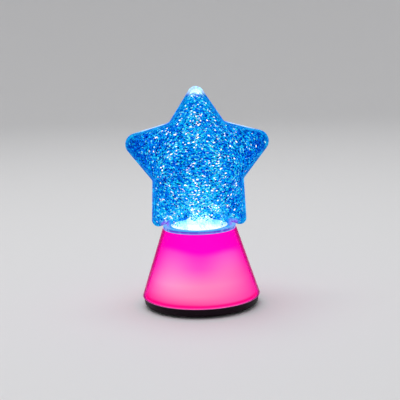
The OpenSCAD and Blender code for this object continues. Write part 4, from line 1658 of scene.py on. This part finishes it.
@dataclass
class GlitterFill:
    """Liquid with its loose flakes."""

    form: StarForm
    core_inset: float = 8.5 * MM
    core_rim: float = 2.3 * MM
    core_steps: tuple[int, int, int] = (6, 12, 28)
    layers: tuple[float, ...] = (2.4 * MM, 3.5 * MM, 5.2 * MM, 7.0 * MM)
    layer_steps: tuple[int, int, int] = (5, 8, 16)
    neck_layers: tuple[float, ...] = (2.6 * MM, 4.6 * MM, 6.8 * MM)
    neck_low: float = 61 * MM
    neck_steps: int = 64
    looseness: tuple[float, ...] = (0.3, 0.8, 1.0, 1.0)
    density: float = 0.72e6
    smallest: float = 0.38 * MM
    largest: float = 0.78 * MM
    stretch: float = 1.35
    tilt: float = 1.0
    scatter: float = 0.45 * MM
    first_seed: int = 11
    grain_start: Span = (18 * MM, 12 * MM)
    liquid: DeepLiquid = DeepLiquid()
    tones: FlakeTones = FlakeTones()
    flakes: FlakeScatter = field(default_factory=FlakeScatter)

    def build(self) -> None:
        """Builds and dresses the liquid and its flakes."""
        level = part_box("glitter_liquid")[1].z
        points, faces = self.form.surface(self.core_inset, *self.core_steps, self.core_rim)
        points[:, 2] = np.minimum(points[:, 2], level)
        core = mesh_piece("star_liquid", points, faces)
        dress(core, self.liquid)
        settle(core, "liquid", "glitter_liquid")
        for seed, tone in enumerate(Tone, self.first_seed):
            piece = self.surface(f"flakes_{tone.name.lower()}", tone, level)
            self.flakes.apply(piece, {
                "Density": self.density,
                "Smallest": self.smallest,
                "Largest": self.largest,
                "Stretch": self.stretch,
                "Tilt": self.tilt,
                "Scatter": self.scatter,
                "Seed": seed,
                "Foil": Foil(tone).material(),
            })
            settle(piece, "flake_foil", *(("glitter_flakes",) if tone is Tone.AZURE else ()))

    def surface(self, name: str, tone: Tone, level: float) -> bpy.types.Object:
        """Builds the nested skins that flakes of one tone lie on.

        Args:
            name: The piece's name.
            tone: The tone.
            level: The liquid's level.

        Returns:
            The skins, with the tone's share, the looseness and the flakes' way at each point.
        """
        skins = [(*self.form.surface(inset, *self.layer_steps), i) for i, inset in enumerate(self.layers)]
        for depth, inset in enumerate(self.neck_layers):
            points, faces = self.form.neck(inset, self.neck_low, self.neck_steps)
            skins.append((points, faces[2:], depth))
        joined: Faces = []
        start = 0
        for points, faces, _ in skins:
            joined += [tuple(start + i for i in face) for face in faces]
            start += len(points)
        every = np.concatenate([points for points, _, _ in skins])
        piece = mesh_piece(name, every, joined)
        shares = [self.tones.share(points, tone, depth, level) for points, _, depth in skins]
        loose = [np.full(len(points), self.looseness[depth]) for points, _, depth in skins]
        for label, values in (("share", shares), ("loose", loose)):
            attribute = piece.data.attributes.new(label, "FLOAT", "POINT")
            attribute.data.foreach_set("value", np.concatenate(values).astype(np.float32))
        grain = piece.data.attributes.new("grain", "FLOAT_VECTOR", "POINT")
        grain.data.foreach_set("vector", self.grain(every).astype(np.float32).ravel())
        return piece

    def grain(self, points: Points) -> Points:
        """Gives the way that flakes lie at each point: across the arm that it is on.

        Args:
            points: The points.

        Returns:
            The unit directions.
        """
        sharp, _ = self.form.corners(0.0)
        tips = sharp[::2] / np.linalg.norm(sharp[::2], axis=1)[:, None]
        flat = np.stack([points[:, 0], points[:, 2] - self.form.centre_z], axis=-1)
        far = np.linalg.norm(flat, axis=1) + 1e-9
        nearest = tips[np.argmax(flat @ tips.T, axis=1)]
        out = np.stack([nearest[:, 1], np.zeros(len(points)), -nearest[:, 0]], axis=-1)
        level = np.array([1.0, 0.0, 0.0])
        hold = part_way(far - self.grain_start[0], self.grain_start[1])[:, None]
        out = out * np.sign(out[:, :1] + 1e-6) * hold + level * (1 - hold)
        return out / np.linalg.norm(out, axis=1)[:, None]


@dataclass
class Collar:
    """Clear ring under the bottle, and the bright stopper inside it."""

    low: float = 57.0 * MM
    high: float = 59.7 * MM
    outer: float = 26.5 * MM
    bore: float = 18.5 * MM
    rounding: float = 0.7 * MM
    bore_rounding: float = 0.2 * MM
    finish: LitRing = LitRing()
    window: LitWindow = LitWindow()

    def build(self, nodes: Nodes) -> None:
        """Builds the ring and dresses the stopper.

        Args:
            nodes: The frame's nodes.
        """
        ring = lathe("collar_ring", rounded_profile([
            (self.bore, self.low, self.bore_rounding), (self.outer, self.low, self.rounding),
            (self.outer, self.high, self.rounding), (self.bore, self.high, self.bore_rounding),
        ]))
        dress(ring, self.finish)
        settle(ring, "clear_collar", "neck_collar")
        dress_node(nodes, "stopper", self.window)


@dataclass
class LitCone:
    """Clear outer cone over the frosted, lit inner cone."""

    low: float = 7.2 * MM
    high: float = 57.0 * MM
    foot: float = 43.4 * MM
    top: float = 27.0 * MM
    wall: float = 2.5 * MM
    foot_rounding: float = 0.7 * MM
    top_rounding: float = 0.5 * MM
    inner_rounding: float = 0.3 * MM
    # painted light: a faint pink glow over the whole clear cone, and a painted highlight along its foot
    clear: ClearPlastic = ClearPlastic(
        "clear cone", (1.0, 0.97, 0.98), (0.905, 0.0, 0.8), 430.0,
        glow=(0.2, 0.0, 0.08), end_glow=(0.45, 0.12, 0.3), end=(8.2 * MM, 7.3 * MM),
    )
    frosted: FrostedPink = FrostedPink()

    def build(self, nodes: Nodes) -> None:
        """Builds the clear cone and dresses the frosted one.

        Args:
            nodes: The frame's nodes.
        """
        shell = lathe("outer_cone", rounded_profile([
            (self.foot - self.wall, self.low, self.inner_rounding), (self.foot, self.low, self.foot_rounding),
            (self.top, self.high, self.top_rounding), (self.top - self.wall, self.high, self.inner_rounding),
        ]))
        dress(shell, self.clear)
        settle(shell, "clear_cone", "cone_shell")
        dress_node(nodes, "cone_diffuser", self.frosted)


STEEL = Metal("zinc-plated steel", (0.62, 0.62, 0.6))


@dataclass
class DarkBase:
    """Dark base with its screws, door, switch and feet."""

    # partly painted light: the black plastic's faint magenta tint stands in for the cone's pink light on the
    # base
    plastic: MouldedPlastic = MouldedPlastic("black satin plastic", (0.007, 0.001, 0.005), 0.5, shine=0.12)
    door: MouldedPlastic = MouldedPlastic("black door plastic", (0.010, 0.007, 0.010), 0.5, shine=0.3)
    knob: MouldedPlastic = MouldedPlastic("grey knob plastic", (0.05, 0.05, 0.055), 0.4)
    rubber: MouldedPlastic = MouldedPlastic("grey rubber", (0.045, 0.045, 0.045), 0.85, 1400, 0.05 * MM)
    weld_gap: float = 0.001 * MM
    head_radius: float = 2.4 * MM
    head_height: float = 1.7 * MM
    shank_radius: float = 1.2 * MM
    screws: CrossScrews = field(default_factory=CrossScrews)

    def build(self, nodes: Nodes) -> None:
        """Smooths the base and dresses what is on it.

        Args:
            nodes: The frame's nodes.
        """
        source = nodes["base_tub"].data
        points = np.array([tuple(v.co) for v in source.vertices])
        tub = mesh_piece("base_housing", points, [tuple(face.vertices) for face in source.polygons])
        weld(tub, self.weld_gap)
        dress(tub, self.plastic)
        settle(tub, "black_plastic", "base_tub")
        self.screw_down()
        dress_node(nodes, "battery_door", self.door)
        dress_node(nodes, "switch_knob", self.knob)
        dress_node(nodes, "rubber_feet", self.rubber)

    def screw_down(self) -> None:
        """Builds the two screws that hold the base."""
        low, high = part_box("base_screws")
        place = high.y - self.head_radius
        screws = mesh_piece("cross_head_screws", np.array([(0, -place, low.z), (0, place, low.z)]), [])
        self.screws.apply(screws, {
            "Head Radius": self.head_radius,
            "Head Height": self.head_height,
            "Shank Radius": self.shank_radius,
            "Length": high.z - low.z - self.head_height / 2,
            "Metal": STEEL.material(),
        })
        soften(screws)
        settle(screws, "steel", "base_screws")


@dataclass
class InnerWorks:
    """What is inside: stirrer, motor, boards, cells and wires, each finish with the nodes that have it."""

    looks: tuple[tuple[Finish, tuple[str, ...]], ...] = (
        (MouldedPlastic("white moulded plastic", (0.72, 0.72, 0.7), 0.5), ("deck",)),
        (LitWindow("lit stirrer plastic", srgb(240, 254, 254), srgb(226, 250, 252)), ("impeller",)),
        (MouldedPlastic("cream plastic", (0.6, 0.53, 0.4), 0.5), ("motor_end_cap",)),
        (MouldedPlastic("black carrier plastic", (0.012, 0.012, 0.012), 0.45), ("magnet_carrier",)),
        (MouldedPlastic("switch case plastic", (0.03, 0.035, 0.04), 0.5), ("switch_body",)),
        (MouldedPlastic("red wire sleeve", (0.42, 0.02, 0.02), 0.5), ("motor_leads", "led_leads")),
        (MouldedPlastic("dark wire sleeve", (0.02, 0.02, 0.02), 0.5), ("switch_leads",)),
        (MouldedPlastic("seal rubber", (0.04, 0.04, 0.042), 0.8), ("stopper_seal",)),
        (MouldedPlastic("cool white light", (0.85, 0.95, 1.0), 0.3, glow=2.0), ("star_leds",)),
        (MouldedPlastic("pink light", (1.0, 0.25, 0.6), 0.3, glow=2.0), ("base_leds",)),
        (MouldedPlastic("chip resin", (0.015, 0.015, 0.016), 0.55), ("control_chip",)),
        (STEEL, ("stopper_screws", "pivot_pin", "deck_screws", "motor_screws", "motor_shaft")),
        (Metal("drawn motor can", (0.56, 0.57, 0.58), 0.32), ("motor_can",)),
        (Metal("nickel-plated magnet", (0.5, 0.5, 0.52), 0.2), ("impeller_magnets", "drive_magnets")),
        (Metal("tinned contact", (0.72, 0.6, 0.34), 0.3), ("spring_contacts", "plate_contacts")),
        (CircuitBoard("white board", (0.7, 0.7, 0.68), (0.76, 0.75, 0.7)), ("star_light_board",)),
        (CircuitBoard("green board", (0.01, 0.09, 0.03), (0.03, 0.2, 0.07)), ("control_board",)),
        (CellSleeve(), ("battery_1", "battery_2", "battery_3")),
    )

    def build(self, nodes: Nodes) -> None:
        """Dresses the inner nodes.

        Args:
            nodes: The frame's nodes.
        """
        for finish, names in self.looks:
            for name in names:
                dress_node(nodes, name, finish)


@dataclass
class Studio:
    """Plain pale sweep, soft light and the photograph's viewpoint."""

    eye: tuple[float, float, float] = (0.0, -0.700, 0.1991)
    pitch: float = 0.172
    roll: float = -0.029
    focal_pixels: float = 977.1
    centre_pixel: float = 198.7
    sensor: float = 36.0
    sweep: PaleSweep = PaleSweep()
    sweep_steps: int = 96
    floor_centre: float = 0.02
    floor_radius: float = 1.5
    bend: float = 0.8
    bend_steps: int = 13
    wall_height: float = 1.3
    light_place: tuple[float, float, float] = (-0.15, 0.1, 1.5)
    light_aim: tuple[float, float, float] = (0.0, 0.0, 0.08)
    light_side: float = 1.3
    light_watts: float = 13.0
    world_strength: float = 0.45

    def build(self) -> None:
        """Builds the camera, the sweep and the lights."""
        self.camera()
        self.floor()
        self.light()
        world = bpy.data.worlds.new("studio")
        world.use_nodes = True
        background = world.node_tree.nodes["Background"]
        background.inputs["Color"].default_value = (1.0, 1.0, 1.0, 1.0)
        background.inputs["Strength"].default_value = self.world_strength
        bpy.context.scene.world = world
        bpy.context.scene.view_settings.view_transform = "Standard"

    def camera(self) -> None:
        """Sets the camera where the photograph was taken."""
        data = bpy.data.cameras.new("viewpoint")
        data.sensor_fit = "HORIZONTAL"
        data.sensor_width = self.sensor
        data.lens = self.focal_pixels / IMAGE_SIDE * self.sensor
        data.shift_x = (IMAGE_SIDE / 2 - self.centre_pixel) / IMAGE_SIDE
        camera = bpy.data.objects.new("viewpoint", data)
        tilt = Matrix.Rotation(math.pi / 2 - self.pitch, 4, "X") @ Matrix.Rotation(self.roll, 4, "Z")
        camera.matrix_world = Matrix.Translation(self.eye) @ tilt
        bpy.context.scene.collection.objects.link(camera)
        bpy.context.scene.camera = camera

    def floor(self) -> None:
        """Builds the floor and the backdrop as one round sweep."""
        far, bend, steps = self.floor_radius, self.bend, self.sweep_steps
        turns = np.linspace(0, math.pi / 2, self.bend_steps)
        curve = [(far + bend * math.sin(t), bend - bend * math.cos(t)) for t in turns]
        rail = [(self.floor_centre, 0.0), *curve, (far + bend, self.wall_height)]
        points = np.array([
            (r * math.cos(t), r * math.sin(t), z)
            for r, z in rail for t in np.linspace(0, FULL_TURN, steps, endpoint=False)
        ])
        faces: Faces = [tuple(range(steps))]
        for here in range(0, (len(rail) - 1) * steps, steps):
            for i in range(steps):
                k = (i + 1) % steps
                faces.append((here + i, here + steps + i, here + steps + k, here + k))
        floor = mesh_piece("studio_sweep", points, faces)
        dress(floor, self.sweep)

    def light(self) -> None:
        """Hangs a square softbox that faces the lamp."""
        data = bpy.data.lights.new("overhead_softbox", "AREA")
        data.shape = "SQUARE"
        data.size = self.light_side
        data.energy = self.light_watts
        light = bpy.data.objects.new("overhead_softbox", data)
        aim = Vector(self.light_aim) - Vector(self.light_place)
        turn = aim.to_track_quat("-Z", "Y").to_matrix().to_4x4()
        light.matrix_world = Matrix.Translation(self.light_place) @ turn
        bpy.context.scene.collection.objects.link(light)


def main() -> None:
    """Loads the frame and builds the lamp's looks."""
    logging.basicConfig(level=logging.INFO, format="%(name)s: %(message)s")
    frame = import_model()
    nodes = frame["nodes"]
    Studio().build()
    form = StarForm()
    StarBottle(form).build()
    GlitterFill(form).build()
    Collar().build(nodes)
    LitCone().build(nodes)
    DarkBase().build(nodes)
    InnerWorks().build(nodes)


if __name__ == "__main__":
    main()
